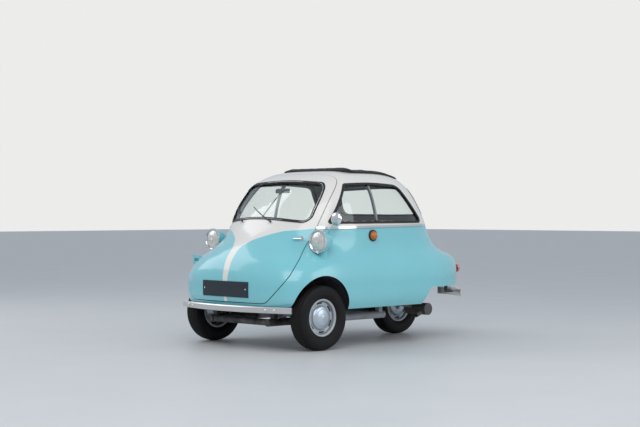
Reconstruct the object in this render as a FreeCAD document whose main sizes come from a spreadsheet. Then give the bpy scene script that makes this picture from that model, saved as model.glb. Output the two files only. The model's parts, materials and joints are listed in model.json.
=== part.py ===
# Bubble car: a two-seat microcar whose whole nose is its door, with two front wheels and
# one rear wheel. Millimetres, +Z up, the nose towards -Y, the car's own left towards +X.
# The origin is on the ground below the middle of the length over the bumpers.
import FreeCAD, Part
import Sketcher
import math
import os

Vector = FreeCAD.Vector
doc = FreeCAD.newDocument("bubble_car")
nodes = []

# Driving dimensions

DIMENSIONS = [
    ("front_overhang", 427.5, "front bumper's face to the front axle"),
    ("wheelbase", 1500, "front axle to rear axle"),
    ("rear_overhang", 427.5, "rear axle to the rear bumpers' faces"),
    ("track", 1200, "between the front tyres' middles"),
    ("tyre_radius", 245, "outer radius of all three tyres"),
    ("tyre_width", 135, "widest part of the tyre"),
    ("rim_radius", 141, "outer radius of the rim's flange"),
    ("rim_width", 96, "over the rim's flanges"),
    ("wheel_offset", 22, "from the tyre's middle out to the wheel disc"),
    ("cap_radius", 92, "hub cap"),
    ("cap_height", 34, "rise of the hub cap's dome"),
    ("wall", 28, "door and body walls"),
    ("skin_split", 660, "seam between the front and back panels, behind the front axle"),
    ("door_gap", 6, "gap all round the door"),
    ("door_bottom", 354, "height of the door's lower edge"),
    ("arch_radius", 257, "front wheel arch"),
    ("arch_height", 302, "height of the arch's centre"),
    ("arch_back", -5, "arch centre behind the front axle"),
    ("nose_lip", 346, "lower edge of the nose where it meets the wheel arch"),
    ("tail_bottom", 432, "lower edge of the tail"),
    ("tail_rise_start", 402, "where the sill starts to rise, ahead of the rear axle"),
    ("tail_rise_end", 310, "where the sill has risen, ahead of the rear axle"),
    ("glass", 5, "thickness of all the glass"),
    ("glass_depth", 9, "glass behind the outer skin"),
    ("seal_width", 17, "rubber seal round a window"),
    ("seal_proud", 4, "seal in front of the skin"),
    ("canvas", 15, "folded edge of the canvas roof"),
    ("canvas_lap", 34, "canvas over the roof panel round the opening"),
    ("roof_half_width", 336, "half the width of the roof opening"),
    ("roof_front", 540, "front of the roof opening, behind the front axle"),
    ("roof_back", 1135, "back of the roof opening, behind the front axle"),
    ("pane_split", 650, "strip between the side panes, behind the front axle"),
    ("pane_strip", 14, "width of the strip between the side panes"),
    ("rail_front", 80, "front end of the belt rail, behind the front axle"),
    ("rail_back", 1230, "back end of the belt rail, behind the front axle"),
    ("rail_height", 912, "middle of the belt rail at its front end"),
    ("rail_rise", 18, "how much higher the belt rail's back end is"),
    ("rail_width", 17, "height of the belt rail's section"),
    ("rail_proud", 8, "belt rail in front of the skin"),
    ("bumper_height", 309, "middle of the front bumper"),
    ("bumper_face", 46, "height of the bumper's section"),
    ("bumper_depth", 17, "thickness of the bumper bar"),
    ("bumper_half_span", 625, "from the middle to the front bumper's end"),
    ("bumper_sweep", 125, "how far the bumper's ends lie behind its middle"),
    ("stay_side", 250, "front bumper's stays from the car's middle"),
    ("rear_bumper_height", 358, "middle of the rear bumpers"),
    ("rear_bumper_face", 64, "height of the rear bumpers' section"),
    ("lamp_side", 606, "headlamp from the car's middle"),
    ("lamp_height", 812, "headlamp's middle"),
    ("lamp_back", -14, "headlamp's glass behind the front axle"),
    ("lamp_radius", 88, "over the headlamp's rim"),
    ("lamp_depth", 150, "headlamp's shell behind its rim"),
    ("indicator_back", 585, "side indicator behind the front axle"),
    ("indicator_height", 850, "side indicator's middle"),
    ("indicator_radius", 44, "side indicator's base"),
    ("tail_lamp_side", 430, "tail lamp from the car's middle"),
    ("tail_lamp_height", 560, "tail lamp's middle"),
    ("mirror_side", 640, "wing mirror from the car's middle"),
    ("mirror_height", 980, "wing mirror's middle"),
    ("mirror_radius", 52, "wing mirror"),
    ("door_swing_side", 604, "door hinge axis from the car's middle, on the right"),
    ("door_swing_back", -205, "door hinge axis behind the front axle"),
    ("floor_height", 314, "top of the floor pan"),
    ("floor_sheet", 14, "floor pan with its stiffening"),
    ("housing_inset", 215, "inner wall of a front wheel housing, inwards of the tyre's middle"),
    ("housing_radius", 290, "front wheel housings inside the body"),
    ("housing_height", 262, "height of the housings' centre, which lies over the front axle"),
    ("bulkhead_back", 1075, "bulkhead behind the seat, behind the front axle"),
    ("bulkhead_sheet", 12, "bulkhead and rear shelf"),
    ("shelf_height", 750, "top of the rear shelf"),
    ("frame_tube", 29, "radius of the chassis tubes"),
    ("frame_back", 500, "back end of the chassis tubes, ahead of the rear axle"),
    ("frame_half_width", 330, "chassis side tubes from the car's middle"),
    ("frame_height", 205, "middle of the chassis tubes"),
    ("kingpin_inset", 60, "steering axis, inwards of the tyre's middle"),
    ("kingpin_length", 150, "kingpins from end to end"),
    ("strut_inset", 160, "front spring legs, inwards of the tyre's middle"),
    ("rear_arm_side", 110, "rear arm with its chain case, right of the rear wheel"),
    ("engine_outside", 480, "engine's right side from the car's middle"),
    ("engine_inside", 140, "engine's left side, right of the car's middle"),
    ("engine_front", 330, "front of the engine, ahead of the rear axle"),
    ("engine_length", 360, "engine from front to back"),
    ("engine_tall", 370, "engine from its mountings to the top of its fan housing"),
    ("bearer", 20, "radius of the engine's bearer tubes"),
    ("seat_half_width", 520, "half of the bench seat"),
    ("seat_height", 545, "top of the seat cushion"),
    ("seat_thickness", 130, "seat cushion"),
    ("column_side", -245, "steering column from the car's middle"),
    ("steering_wheel_radius", 190, "steering wheel over its rim"),
    ("steering_rim", 11, "radius of the steering wheel's rim section"),
    ("plate_width", 520, "blank number plate"),
    ("plate_height", 118, "blank number plate"),
    ("plate_middle", 452, "height of the number plate's middle"),
    ("fit_gap", 0.3, "clearance between pieces that seat on each other"),
    ("run_gap", 0.06, "radial clearance of a shaft in its bore"),
    ("pin_radius", 14, "kingpins"),
    ("axle_radius", 16, "wheel axles"),
    ("jack_pad", 36, "half the width of the jacking pads under the side tubes"),
]

# Waterlines of the body from the skirt to the top of the roof: name, height, half width, how
# far the nose and the tail lie inside the bumpers' faces, where the front and back roundings
# start behind the front axle, and how square those roundings are (2 is an ellipse).
WATERLINES = [
    ("skirt", 300, 661, 77.5, 101.5, 150, 900, 3.2, 2.8),
    ("tuck", 321, 671, 53.5, 79.5, 150, 900, 3.3, 2.8),
    ("lip", 345, 680, 39.5, 59.5, 150, 900, 3.4, 2.8),
    ("flank", 440, 690, 25.5, 43.5, 150, 900, 3.4, 2.8),
    ("bulge", 550, 687, 29.5, 37.5, 150, 900, 3.2, 2.8),
    ("wing", 620, 670, 46.5, 43.5, 150, 900, 2.8, 2.8),
    ("ledge", 662, 652, 63.5, 69.5, 170, 900, 2.6, 2.8),
    ("step", 692, 636, 81.5, 137.5, 200, 900, 2.45, 2.8),
    ("riser", 716, 622, 99.5, 222.5, 240, 900, 2.3, 2.8),
    ("shoulder", 745, 612, 123.5, 279.5, 290, 900, 2.15, 2.75),
    ("cheek", 800, 603, 184.5, 337.5, 350, 900, 2.0, 2.7),
    ("brow", 880, 599, 280.5, 402.5, 350, 900, 2.0, 2.7),
    ("belt", 945, 595, 331.5, 432.5, 350, 900, 2.0, 2.7),
    ("screen_foot", 1060, 572, 429.5, 487.5, 400, 850, 2.4, 2.7),
    ("screen_middle", 1160, 538, 530.5, 542.5, 450, 820, 2.9, 2.7),
    ("screen_head", 1240, 496, 613.5, 605.5, 500, 800, 3.5, 2.7),
    ("cant", 1300, 440, 702.5, 682.5, 520, 780, 3.2, 2.7),
    ("crown", 1338, 368, 799.5, 787.5, 560, 760, 3.0, 2.7),
    ("roof", 1358, 270, 917.5, 947.5, 600, 740, 2.6, 2.6),
]
PARTS_OF_A_WATERLINE = ("height", "half", "nose", "tail")


def fill_sheet():
    """Write the driving dimensions and the waterlines' sizes to the sheet, each under its alias."""
    sheet = doc.addObject("Spreadsheet::Sheet", "sizes")
    rows = list(DIMENSIONS)
    for line in WATERLINES:
        for part, value in zip(PARTS_OF_A_WATERLINE, line[1:5]):
            rows.append((line[0] + "_" + part, value, "waterline " + line[0] + ", " + part))
    rows.append(("length", "=front_overhang + wheelbase + rear_overhang", "length over the bumpers"))
    for number, (alias, value, meaning) in enumerate(rows, 1):
        sheet.set("A%d" % number, meaning)
        sheet.set("B%d" % number, str(value))
        sheet.setAlias("B%d" % number, alias)
    doc.recompute()
    return sheet


sizes = fill_sheet()


def size(alias):
    """One dimension from the sheet."""
    return float(getattr(sizes, alias))


front_axle = size("front_overhang") - size("length") / 2
rear_axle = front_axle + size("wheelbase")
tail_end = size("wheelbase") + size("rear_overhang")
hub_height = size("tyre_radius")


def aft(distance):
    """Y of a place given behind the front axle."""
    return front_axle + distance


def before_rear(alias):
    """Station behind the front axle of a size that is given ahead of the rear axle."""
    return size("wheelbase") - size(alias)


# Helpers for the document's objects

def piece(label, shape):
    """A document object that holds a freeform shape, as one named piece."""
    thing = doc.addObject("Part::Feature", label)
    thing.Label = label
    thing.Shape = shape
    nodes.append(thing)
    return thing


def new_body(label):
    """An empty PartDesign body that becomes one named piece."""
    body = doc.addObject("PartDesign::Body", label)
    body.Label = label
    nodes.append(body)
    return body


def outline_sketch(body, role, corners):
    """A closed polygon on one of the body's own planes, each corner bound to two expressions."""
    sketch = body.newObject("Sketcher::SketchObject", body.Name + "_outline")
    plane = [one for one in body.Origin.OriginFeatures if one.Role == role][0]
    sketch.AttachmentSupport = [(plane, "")]
    sketch.MapMode = "FlatFace"
    count = len(corners)
    ring = [Vector(100 * math.cos(2 * math.pi * k / count), 100 * math.sin(2 * math.pi * k / count), 0)
            for k in range(count)]
    for k in range(count):
        sketch.addGeometry(Part.LineSegment(ring[k], ring[(k + 1) % count]), False)
    for k in range(count):
        sketch.addConstraint(Sketcher.Constraint("Coincident", k, 2, (k + 1) % count, 1))
    for k, corner in enumerate(corners):
        for kind, start, text in zip(("DistanceX", "DistanceY"), ring[k], corner):
            index = sketch.addConstraint(Sketcher.Constraint(kind, -1, 1, k, 1, start))
            sketch.setExpression("Constraints[%d]" % index, text)
    return sketch


def turned(label, role, axis, corners, middle):
    """A body turned about a sketch axis, with its origin at middle."""
    body = new_body(label)
    sketch = outline_sketch(body, role, corners)
    turn = body.newObject("PartDesign::Revolution", label + "_turn")
    turn.Profile = sketch
    turn.ReferenceAxis = (sketch, [axis])
    turn.Angle = 360
    for name, text in zip("xyz", middle):
        body.setExpression("Placement.Base." + name, text)
    return body


def padded(label, role, corners, depth, middle):
    """A body padded both ways from a sketch plane, with its origin at middle."""
    body = new_body(label)
    sketch = outline_sketch(body, role, corners)
    pad = body.newObject("PartDesign::Pad", label + "_pad")
    pad.Profile = sketch
    pad.Midplane = True
    pad.setExpression("Length", depth)
    for name, text in zip("xyz", middle):
        body.setExpression("Placement.Base." + name, text)
    return body


FRONT_AXLE_Y = "sizes.front_overhang - sizes.length / 2"
REAR_AXLE_Y = FRONT_AXLE_Y + " + sizes.wheelbase"


# Shape helpers

def block(low, high):
    """A box between two corners."""
    return Part.makeBox(high[0] - low[0], high[1] - low[1], high[2] - low[2], Vector(*low))


def rod(start, end, radius):
    """A round bar between two points."""
    a, b = Vector(*start), Vector(*end)
    return Part.makeCylinder(radius, (b - a).Length, a, b - a)


def bent_tube(points, radius, bend):
    """A round tube along straight runs joined by tangent arcs."""
    places = [Vector(*p) for p in points]
    edges = []
    start = places[0]
    for before, corner, after in zip(places, places[1:], places[2:]):
        back = (before - corner).normalize()
        ahead = (after - corner).normalize()
        half = back.getAngle(ahead) / 2
        reach = bend / math.tan(half)
        bisector = (back + ahead).normalize()
        middle = corner + bisector * (bend / math.sin(half) - bend)
        first = corner + back * reach
        last = corner + ahead * reach
        edges.append(Part.LineSegment(start, first).toShape())
        edges.append(Part.Arc(first, middle, last).toShape())
        start = last
    edges.append(Part.LineSegment(start, places[-1]).toShape())
    section = Part.Wire(Part.Circle(places[0], places[1] - places[0], radius).toShape())
    return Part.Wire(edges).makePipeShell([section], True, False)


def fused(shapes):
    """Solids that touch or overlap, joined."""
    return shapes[0].multiFuse(shapes[1:]).removeSplitter() if len(shapes) > 1 else shapes[0]


def mirrored(shape):
    """The same piece on the car's other side."""
    return shape.mirror(Vector(0, 0, 0), Vector(1, 0, 0))


def both_sides(shape):
    """A piece and its mirror image, as one set."""
    return Part.makeCompound(shape.Solids + mirrored(shape).Solids)


def side_profile(points, half_width):
    """An outline of stations and heights carried across the car."""
    places = [Vector(-half_width, aft(s), z) for s, z in points]
    return Part.Face(Part.makePolygon(places + places[:1])).extrude(Vector(2 * half_width, 0, 0))


# The skin of the body, drawn for the car's left half and closed by the plane of symmetry

STEPS = 9


def waterline_points(line):
    """Points from nose to tail along one waterline: two superellipse ends and a straight side."""
    name, front_start, back_start, front_power, back_power = (line[0],) + tuple(line[5:9])
    height, half, nose, tail = [size(name + "_" + part) for part in PARTS_OF_A_WATERLINE]
    ends = [(front_start, nose - size("front_overhang"), front_power), (back_start, tail_end - tail, back_power)]
    points = []
    for start, end, power in ends:
        quarter = []
        for step in range(STEPS):
            angle = math.pi / 2 * step / STEPS
            across, along = math.sin(angle), math.cos(angle)
            reach = (across ** power + along ** power) ** (-1 / power)
            quarter.append(Vector(half * reach * across, aft(start + (end - start) * reach * along), height))
        points.append(quarter)
    return points[0] + [Vector(half, aft(size("skin_split")), height)] + points[1][::-1]


def skin_grid():
    """The outer skin's points, level by level, with the outward normal at each."""
    grid = [waterline_points(line) for line in WATERLINES]
    normals = []
    for level, row in enumerate(grid):
        below, above = grid[max(level - 1, 0)], grid[min(level + 1, len(grid) - 1)]
        outward = []
        for k in range(2 * STEPS + 1):
            rise = above[k] - below[k]
            if k in (0, 2 * STEPS):
                run = Vector(1 if k == 0 else -1, 0, 0)
            else:
                run = row[k + 1] - row[k - 1]
            outward.append(run.cross(rise).normalize())
        normals.append(outward)
    return grid, normals


grid, normals = skin_grid()


def shared_parameters(rows):
    """One set of parameters from 0 to 1 for all the rows, from their points' mean spacing."""
    totals = [0.0]
    for k in range(1, len(rows[0])):
        totals.append(totals[-1] + sum((row[k] - row[k - 1]).Length for row in rows))
    return [total / totals[-1] for total in totals]


def skinned_face(rows, rises, start, end):
    """A smooth face through rows of points, with the rows' parameters and their directions at the ends.

    Each row is a cubic curve, and cubics then run up through the rows' poles."""
    parameters = shared_parameters(rows)
    flags = [k in (0, STEPS) for k in range(STEPS + 1)]
    curves = []
    for row in rows:
        tangents = [Vector(0, 0, 0)] * (STEPS + 1)
        tangents[0] = start * ((row[1] - row[0]).Length / parameters[1])
        tangents[-1] = end * ((row[-1] - row[-2]).Length / (1 - parameters[-2]))
        curve = Part.BSplineCurve()
        curve.interpolate(Points=row, Parameters=parameters, Tangents=tangents, TangentFlags=flags, Scale=False)
        curves.append(curve)
    columns = []
    for poles in zip(*[curve.getPoles() for curve in curves]):
        column = Part.BSplineCurve()
        column.interpolate(Points=list(poles), Parameters=rises)
        columns.append(column)
    surface = Part.BSplineSurface()
    surface.buildFromPolesMultsKnots(
        [column.getPoles() for column in columns], curves[0].getMultiplicities(), columns[0].getMultiplicities(),
        curves[0].getKnots(), columns[0].getKnots(), False, False, curves[0].Degree, columns[0].Degree)
    return surface.toShape()


def half_skin(inset):
    """The left half of the solid inside the skin moved inwards by inset, with flat ends."""
    rows = []
    last = len(grid) - 1
    for level, (row, outward) in enumerate(zip(grid, normals)):
        places = []
        for point, normal in zip(row, outward):
            if level in (0, last):
                normal = Vector(normal.x, normal.y, 0).normalize()
            places.append(point - normal * inset)
        if level == last:
            places = [p - Vector(0, 0, inset) for p in places]
        rows.append(places)
    inwards = Vector(-1, 0, 0)
    rises = shared_parameters([list(column) for column in zip(*rows)])
    front = skinned_face([row[:STEPS + 1][::-1] for row in rows], rises, Vector(0, -1, 0), inwards)
    back = skinned_face([row[STEPS:] for row in rows], rises, Vector(0, 1, 0), inwards)
    faces = [front, back]
    middle_edges = []
    rim_edges = {"low": [], "high": []}
    for face in faces:
        for edge in face.Edges:
            box = edge.BoundBox
            if max(abs(box.XMin), abs(box.XMax)) < 0.01:
                middle_edges.append(edge)
            elif box.ZLength < 0.01:
                rim_edges["low" if box.ZMax < 600 else "high"].append(edge)
    chords = []
    for edges in rim_edges.values():
        ends = sorted([v.Point for edge in edges for v in edge.Vertexes if abs(v.X) < 0.01], key=lambda p: p.y)
        chord = Part.makeLine(ends[0], ends[-1])
        chords.append(chord)
        faces.append(Part.Face(Part.Wire(Part.__sortEdges__(edges + [chord]))))
    faces.append(Part.Face(Part.Wire(Part.__sortEdges__(middle_edges + chords))))
    shell = Part.makeShell(faces)
    shell.sewShape()
    solid = Part.makeSolid(shell.Shells[0] if shell.ShapeType != "Shell" else shell)
    if solid.Volume < 0:
        solid.reverse()
    return solid


outer = half_skin(0)
inner = half_skin(size("wall"))
far = 3000.0


def skin_side(station, height):
    """Half width of the outer skin at a station behind the front axle and a height."""
    line = Part.makeLine(Vector(0, aft(station), height), Vector(far, aft(station), height))
    cut = outer.section(line)
    return max(vertex.X for vertex in cut.Vertexes)


def rounded_wire(corners, inset, place):
    """A closed outline of straight runs and arcs from (across, up, radius) corners, moved inwards."""
    count = len(corners)
    turn = sum(a[0] * b[1] - a[1] * b[0] for a, b in zip(corners, corners[1:] + corners[:1]))
    side = 1 if turn > 0 else -1
    runs = []
    for k in range(count):
        a, b = Vector(*corners[k][:2], 0), Vector(*corners[(k + 1) % count][:2], 0)
        way = (b - a).normalize()
        runs.append((a + Vector(-way.y, way.x, 0) * side * inset, way))
    edges = []
    start = None
    for k in range(count + 1):
        before, way_in = runs[k % count - 1]
        after, way_out = runs[k % count]
        bend = way_in.x * way_out.y - way_in.y * way_out.x
        gap = after - before
        corner = before + way_in * ((gap.x * way_out.y - gap.y * way_out.x) / bend)
        radius = max(corners[k % count][2] - inset * (1 if bend * side > 0 else -1), 2)
        half = way_in.getAngle(way_out) / 2
        reach = radius * math.tan(half)
        middle = corner + (way_out - way_in).normalize() * (radius / math.cos(half) - radius)
        first, last = corner - way_in * reach, corner + way_out * reach
        if start is not None:
            edges.append(Part.LineSegment(place(start), place(first)).toShape())
        if k < count:
            edges.append(Part.Arc(place(first), place(middle), place(last)).toShape())
        start = last
    return Part.Wire(edges)


def prism_x(corners, low, high, inset=0):
    """An outline of stations and heights carried along X."""
    wire = rounded_wire(corners, inset, lambda p: Vector(low, aft(p.x), p.y))
    return Part.Face(wire).extrude(Vector(high - low, 0, 0))


def prism_y(corners, low, high, inset=0):
    """An outline of sides and heights carried along Y."""
    wire = rounded_wire(corners, inset, lambda p: Vector(p.x, aft(low), p.y))
    return Part.Face(wire).extrude(Vector(0, high - low, 0))


# Outlines of the windows, in the photograph's proportions: stations or sides, heights and
# corner radii. The lower edge of the windscreen rises to the middle.
SIDE_WINDOW = [(150, 942, 16), (376, 1254, 52), (690, 1268, 2500), (990, 1250, 125), (1218, 946, 30)]
SCREEN_HALF = [(0, 990, 2300), (454, 944, 60), (459, 1110, 700), (431, 1262, 88), (0, 1289, 3000)]
REAR_HALF = [(0, 996, 3000), (455, 1000, 46), (447, 1100, 350), (402, 1228, 64), (0, 1248, 3000)]


def whole(half):
    """An outline completed from its right half."""
    return half + [(-x, z, radius) for x, z, radius in reversed(half[1:-1])]


# The door's seam on the car's left: side, station, height, and the direction that the edge
# faces are cut in, which lets the door swing out past the body.
SEAM_HALF = [
    ((0, -400, 354), (0, -1, 0)),
    ((150, -399, 354), (0.1, -1, 0)),
    ((300, -394, 354), (0.2, -0.98, 0)),
    ((400, -380, 356), (0.5, -0.86, 0)),
    ((447, -362, 385), (0.72, -0.69, 0)),
    ((490, -320, 455), (0.8, -0.6, 0)),
    ((528, -265, 540), (0.87, -0.49, 0)),
    ((560, -200, 635), (0.94, -0.34, 0)),
    ((525, -98, 720), (0.97, -0.2, 0.1)),
    ((490, 0, 800), (0.97, -0.1, 0.15)),
    ((488, 76, 895), (0.97, 0, 0.2)),
    ((502, 174, 1065), (0.95, 0, 0.3)),
    ((477, 300, 1220), (0.85, 0, 0.5)),
    ((424, 362, 1288), (0.5, 0, 0.85)),
    ((330, 362, 1318), (0.25, -0.1, 0.96)),
    ((170, 352, 1327), (0.1, -0.15, 0.98)),
    ((0, 347, 1329), (0, -0.2, 0.98)),
]
SEAM_OUT = 70
SEAM_IN = 95


def seam_ring():
    """The closed band that parts the door from the body all round."""
    half = [(Vector(p[0], aft(p[1]), p[2]), Vector(*d).normalize()) for p, d in SEAM_HALF]
    other = [(Vector(-p.x, p.y, p.z), Vector(-d.x, d.y, d.z)) for p, d in reversed(half[1:-1])]
    seam = half + other
    count = len(seam)
    gap = size("door_gap") / 2
    loops = {}
    for name, side, reach in (("a", -gap, SEAM_OUT), ("b", gap, SEAM_OUT), ("c", gap, -SEAM_IN), ("d", -gap, -SEAM_IN)):
        places = []
        for k in range(count):
            point, direction = seam[k]
            tangent = (seam[(k + 1) % count][0] - seam[k - 1][0]).normalize()
            across = direction.cross(tangent).normalize()
            places.append(point + direction * reach + across * side)
        curve = Part.BSplineCurve()
        curve.interpolate(Points=places, PeriodicFlag=True, Parameters=[k / count for k in range(count + 1)])
        loops[name] = curve.toShape()
    sides = [Part.makeRuledSurface(loops[p], loops[q]) for p, q in ("ab", "bc", "cd", "da")]
    shell = Part.makeShell([face for side in sides for face in side.Faces])
    shell = Part.makeShell(shell.Faces)
    solid = Part.makeSolid(shell)
    if solid.Volume < 0:
        solid.reverse()
    return solid


def cutters():
    """The solids that open the hollow skin, each with its name."""
    half_roof = size("roof_half_width")
    roof = Part.makeBox(2 * half_roof, size("roof_back") - size("roof_front"), 400,
                        Vector(-half_roof, aft(size("roof_front")), 1200))
    roof = roof.makeFillet(60, [edge for edge in roof.Edges if edge.BoundBox.ZLength > 300])
    arch_back, arch_height, arch_radius = size("arch_back"), size("arch_height"), size("arch_radius")
    arch = Part.makeCylinder(arch_radius, far, Vector(420, aft(arch_back), arch_height), Vector(1, 0, 0))
    arch = arch.fuse(block((420, aft(arch_back - arch_radius), 0), (420 + far, aft(arch_back + arch_radius), arch_height)))
    rise_start, rise_end = before_rear("tail_rise_start"), before_rear("tail_rise_end")
    tail = [(rise_start, 0), (rise_start, size("skirt_height")), (rise_end, size("tail_bottom")),
            (far, size("tail_bottom")), (far, 0)]
    lip_end = arch_back - arch_radius + 37
    lip = [(-size("front_overhang") + 48, 0), (-size("front_overhang") + 48, size("skirt_height")),
           (lip_end, size("nose_lip")), (lip_end + 25, size("nose_lip")), (lip_end + 25, 0)]
    return [
        ("tail", side_profile(tail, far)),
        ("nose lip", side_profile(lip, far)),
        ("arch", arch),
        ("side window", prism_x(SIDE_WINDOW, 300, far)),
        ("roof", roof),
        ("rear window", prism_y(whole(REAR_HALF), 1150, 2400)),
        ("windscreen", prism_y(whole(SCREEN_HALF), -900, 420)),
        ("door seam", seam_ring()),
    ]


def joined_halves(half):
    """A left half and its mirror image, joined in the plane of symmetry."""
    return half.fuse(mirrored(half)).Solids[0]


# Door and body: the hollow skin, opened for windows, roof, arches and tail, and parted at the seam

shell_half = outer.cut(inner).Solids[0]
for cutter_name, cutter in cutters():
    shell_half = shell_half.cut(cutter)
body_half, door_half = sorted(shell_half.Solids, key=lambda one: -one.BoundBox.YMax)[:2]
piece("body_shell", joined_halves(body_half))
piece("door_shell", joined_halves(door_half))
clear = size("fit_gap")


def layer(outside, inside):
    """The left half of a layer that follows the skin, between two insets."""
    return half_skin(outside).cut(half_skin(inside)).Solids[0]


def ring_prism(make, outline, low, high, width):
    """A window outline's rim, carried through the wall."""
    return make(outline, low, high, clear).cut(make(outline, low, high, width))


# Windows: glass in a rubber seal

seal_layer = layer(-size("seal_proud"), size("wall") - 4)
glass_layer = layer(size("glass_depth"), size("glass_depth") + size("glass"))
WINDOWS = [
    ("side", prism_x, SIDE_WINDOW, 300, far),
    ("rear", prism_y, whole(REAR_HALF), 1150, 2400),
    ("screen", prism_y, whole(SCREEN_HALF), -900, 420),
]
seals = {}
panes = {}
for name, make, outline, low, high in WINDOWS:
    seals[name] = seal_layer.common(ring_prism(make, outline, low, high, size("seal_width"))).Solids[0]
    pane = make(outline, low, high, size("seal_width") + clear)
    panes[name] = glass_layer.common(pane).Solids[0]
strip_low = size("pane_split") - size("pane_strip") / 2
strip = block((0, aft(strip_low), 900), (far, aft(strip_low + size("pane_strip")), 1400))
pane_halves = panes["side"].cut(strip)
upright = layer(0, size("wall") - 6).common(strip)
upright = upright.common(prism_x(SIDE_WINDOW, 300, far, size("seal_width") - 2))
piece("body_windows", Part.makeCompound(both_sides(pane_halves).Solids + [joined_halves(panes["rear"])]))
side_seals = both_sides(seals["side"].fuse(upright)).Solids
piece("body_window_seals", Part.makeCompound(side_seals + [joined_halves(seals["rear"])]))
piece("windscreen", joined_halves(panes["screen"]))
piece("windscreen_seal", joined_halves(seals["screen"]))

# Canvas roof: a cover over the roof opening that laps the panel round it

lap = size("canvas_lap")
cover = Part.makeBox(2 * (size("roof_half_width") + lap), size("roof_back") - size("roof_front") + 2 * lap, 300,
                     Vector(-size("roof_half_width") - lap, aft(size("roof_front") - lap), 1150))
cover = cover.makeFillet(80, [edge for edge in cover.Edges if edge.BoundBox.ZLength > 200])
canvas_half = layer(-size("canvas") - clear, -clear).common(cover).Solids[0]
piece("canvas_roof", joined_halves(canvas_half))

# Belt rails along both sides, and the blank number plate on the door

rail_half = size("rail_width") / 2
rail_low, rail_high = size("rail_height"), size("rail_height") + size("rail_rise")
rail_box = side_profile([(size("rail_front"), rail_low - rail_half), (size("rail_back"), rail_high - rail_half),
                         (size("rail_back"), rail_high + rail_half), (size("rail_front"), rail_low + rail_half)], far)
piece("belt_rails", both_sides(layer(-size("rail_proud"), -clear).common(rail_box)))
plate_low = size("plate_middle") - size("plate_height") / 2
plate_box = block((-1, -far, plate_low), (size("plate_width") / 2, 0, plate_low + size("plate_height")))
piece("number_plate", joined_halves(layer(-5, -clear).common(plate_box).Solids[0]))

outside = half_skin(-clear)
outside = outside.fuse(mirrored(outside)).Solids[0]
room = half_skin(size("wall") + clear)
room = room.fuse(mirrored(room)).Solids[0]


def seated(shape):
    """What is left of a fitting outside the skin, in one piece."""
    return sorted(shape.cut(outside).Solids, key=lambda one: -one.Volume)[0]


def housed(shape):
    """What is left of a fitting inside the walls, in one piece."""
    return sorted(shape.common(room).Solids, key=lambda one: -one.Volume)[0]


def skin_ends(side, height):
    """Y of the outer skin's front and back at a half width and a height."""
    line = Part.makeLine(Vector(side, -far, height), Vector(side, far, height))
    cut = outer.section(line)
    return min(vertex.Y for vertex in cut.Vertexes), max(vertex.Y for vertex in cut.Vertexes)


# Bumpers: a bar on an arc in front, on two stays, and a short bar round each rear corner

def bar_on_arc(left, middle, right, depth, height):
    """A bar of rounded section carried along an arc through three points."""
    path = Part.Arc(Vector(*left), Vector(*middle), Vector(*right))
    start = path.value(path.FirstParameter)
    along = path.tangent(path.FirstParameter)[0]
    across = along.cross(Vector(0, 0, 1)).normalize()
    half, corner = height / 2, depth * 0.45
    corners = [(-depth / 2, -half + corner), (-depth / 2, half - corner), (-depth / 4, half), (depth / 4, half),
               (depth / 2, half - corner), (depth / 2, -half + corner), (depth / 4, -half), (-depth / 4, -half)]
    places = [start + across * a + Vector(0, 0, b) for a, b in corners]
    section = Part.makePolygon(places + places[:1])
    return Part.Wire(path.toShape()).makePipeShell([section], True, False)


bar_front = -size("length") / 2 + size("bumper_depth") / 2
span = size("bumper_half_span")
bar_level = size("bumper_height")
bumper = bar_on_arc((-span, bar_front + size("bumper_sweep"), bar_level), (0, bar_front, bar_level),
                    (span, bar_front + size("bumper_sweep"), bar_level), size("bumper_depth"), size("bumper_face"))
stay = seated(rod((size("stay_side"), bar_front + 14, bar_level), (size("stay_side"), aft(-250), bar_level), 14))
piece("front_bumper", fused([bumper, stay, mirrored(stay)]))
bar_back = size("length") / 2 - size("bumper_depth") / 2
rear_level = size("rear_bumper_height")
rear_bar = bar_on_arc((130, bar_back, rear_level), (350, bar_back - 45.4, rear_level),
                      (570, bar_back - 216.1, rear_level), size("bumper_depth"), size("rear_bumper_face"))
hanger = [block((300, bar_back - 119, rear_level - 8), (336, bar_back - 34, rear_level + 8)),
          block((300, bar_back - 119, rear_level - 8), (336, bar_back - 69, size("tail_bottom") - clear))]
piece("rear_bumpers", both_sides(fused([rear_bar] + hanger)))

# Headlamps: bowl on a foot on the wing, rim, and lens

lamp_place = Vector(size("lamp_side"), aft(size("lamp_back")), size("lamp_height"))


def turned_along_y(profile, middle):
    """A closed profile of distances back and radii, turned about a line along the car."""
    places = [middle + Vector(radius, back, 0) for back, radius in profile]
    wire = Part.makePolygon(places + places[:1])
    return Part.Face(wire).revolve(middle, Vector(0, 1, 0), 360)


rim = size("lamp_radius")
reach = size("lamp_depth")
bowl = turned_along_y([(14, 0), (14, rim - 3), (reach * 0.22, rim - 5), (reach * 0.45, rim * 0.84),
                       (reach * 0.68, rim * 0.64), (reach * 0.86, rim * 0.38), (reach, 0)], lamp_place)
foot = Part.makeCylinder(34, 190, lamp_place + Vector(-4, 62, -190), Vector(0, 0, 1))
piece("headlamp_bowls", both_sides(seated(fused([bowl, foot]))))
piece("headlamp_rims", both_sides(turned_along_y(
    [(-6, rim - 8), (-6, rim - 2), (0, rim), (10, rim), (13.7, rim - 3), (13.7, rim - 16), (0, rim - 14)],
    lamp_place)))
lens_edge = rim - 16.3
piece("headlamp_lenses", both_sides(turned_along_y(
    [(13.7, 0), (13.7, lens_edge), (2, lens_edge), (-6, lens_edge * 0.8), (-12, lens_edge * 0.5), (-15, 0)],
    lamp_place)))

# Indicators on the flanks and tail lamps

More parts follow.
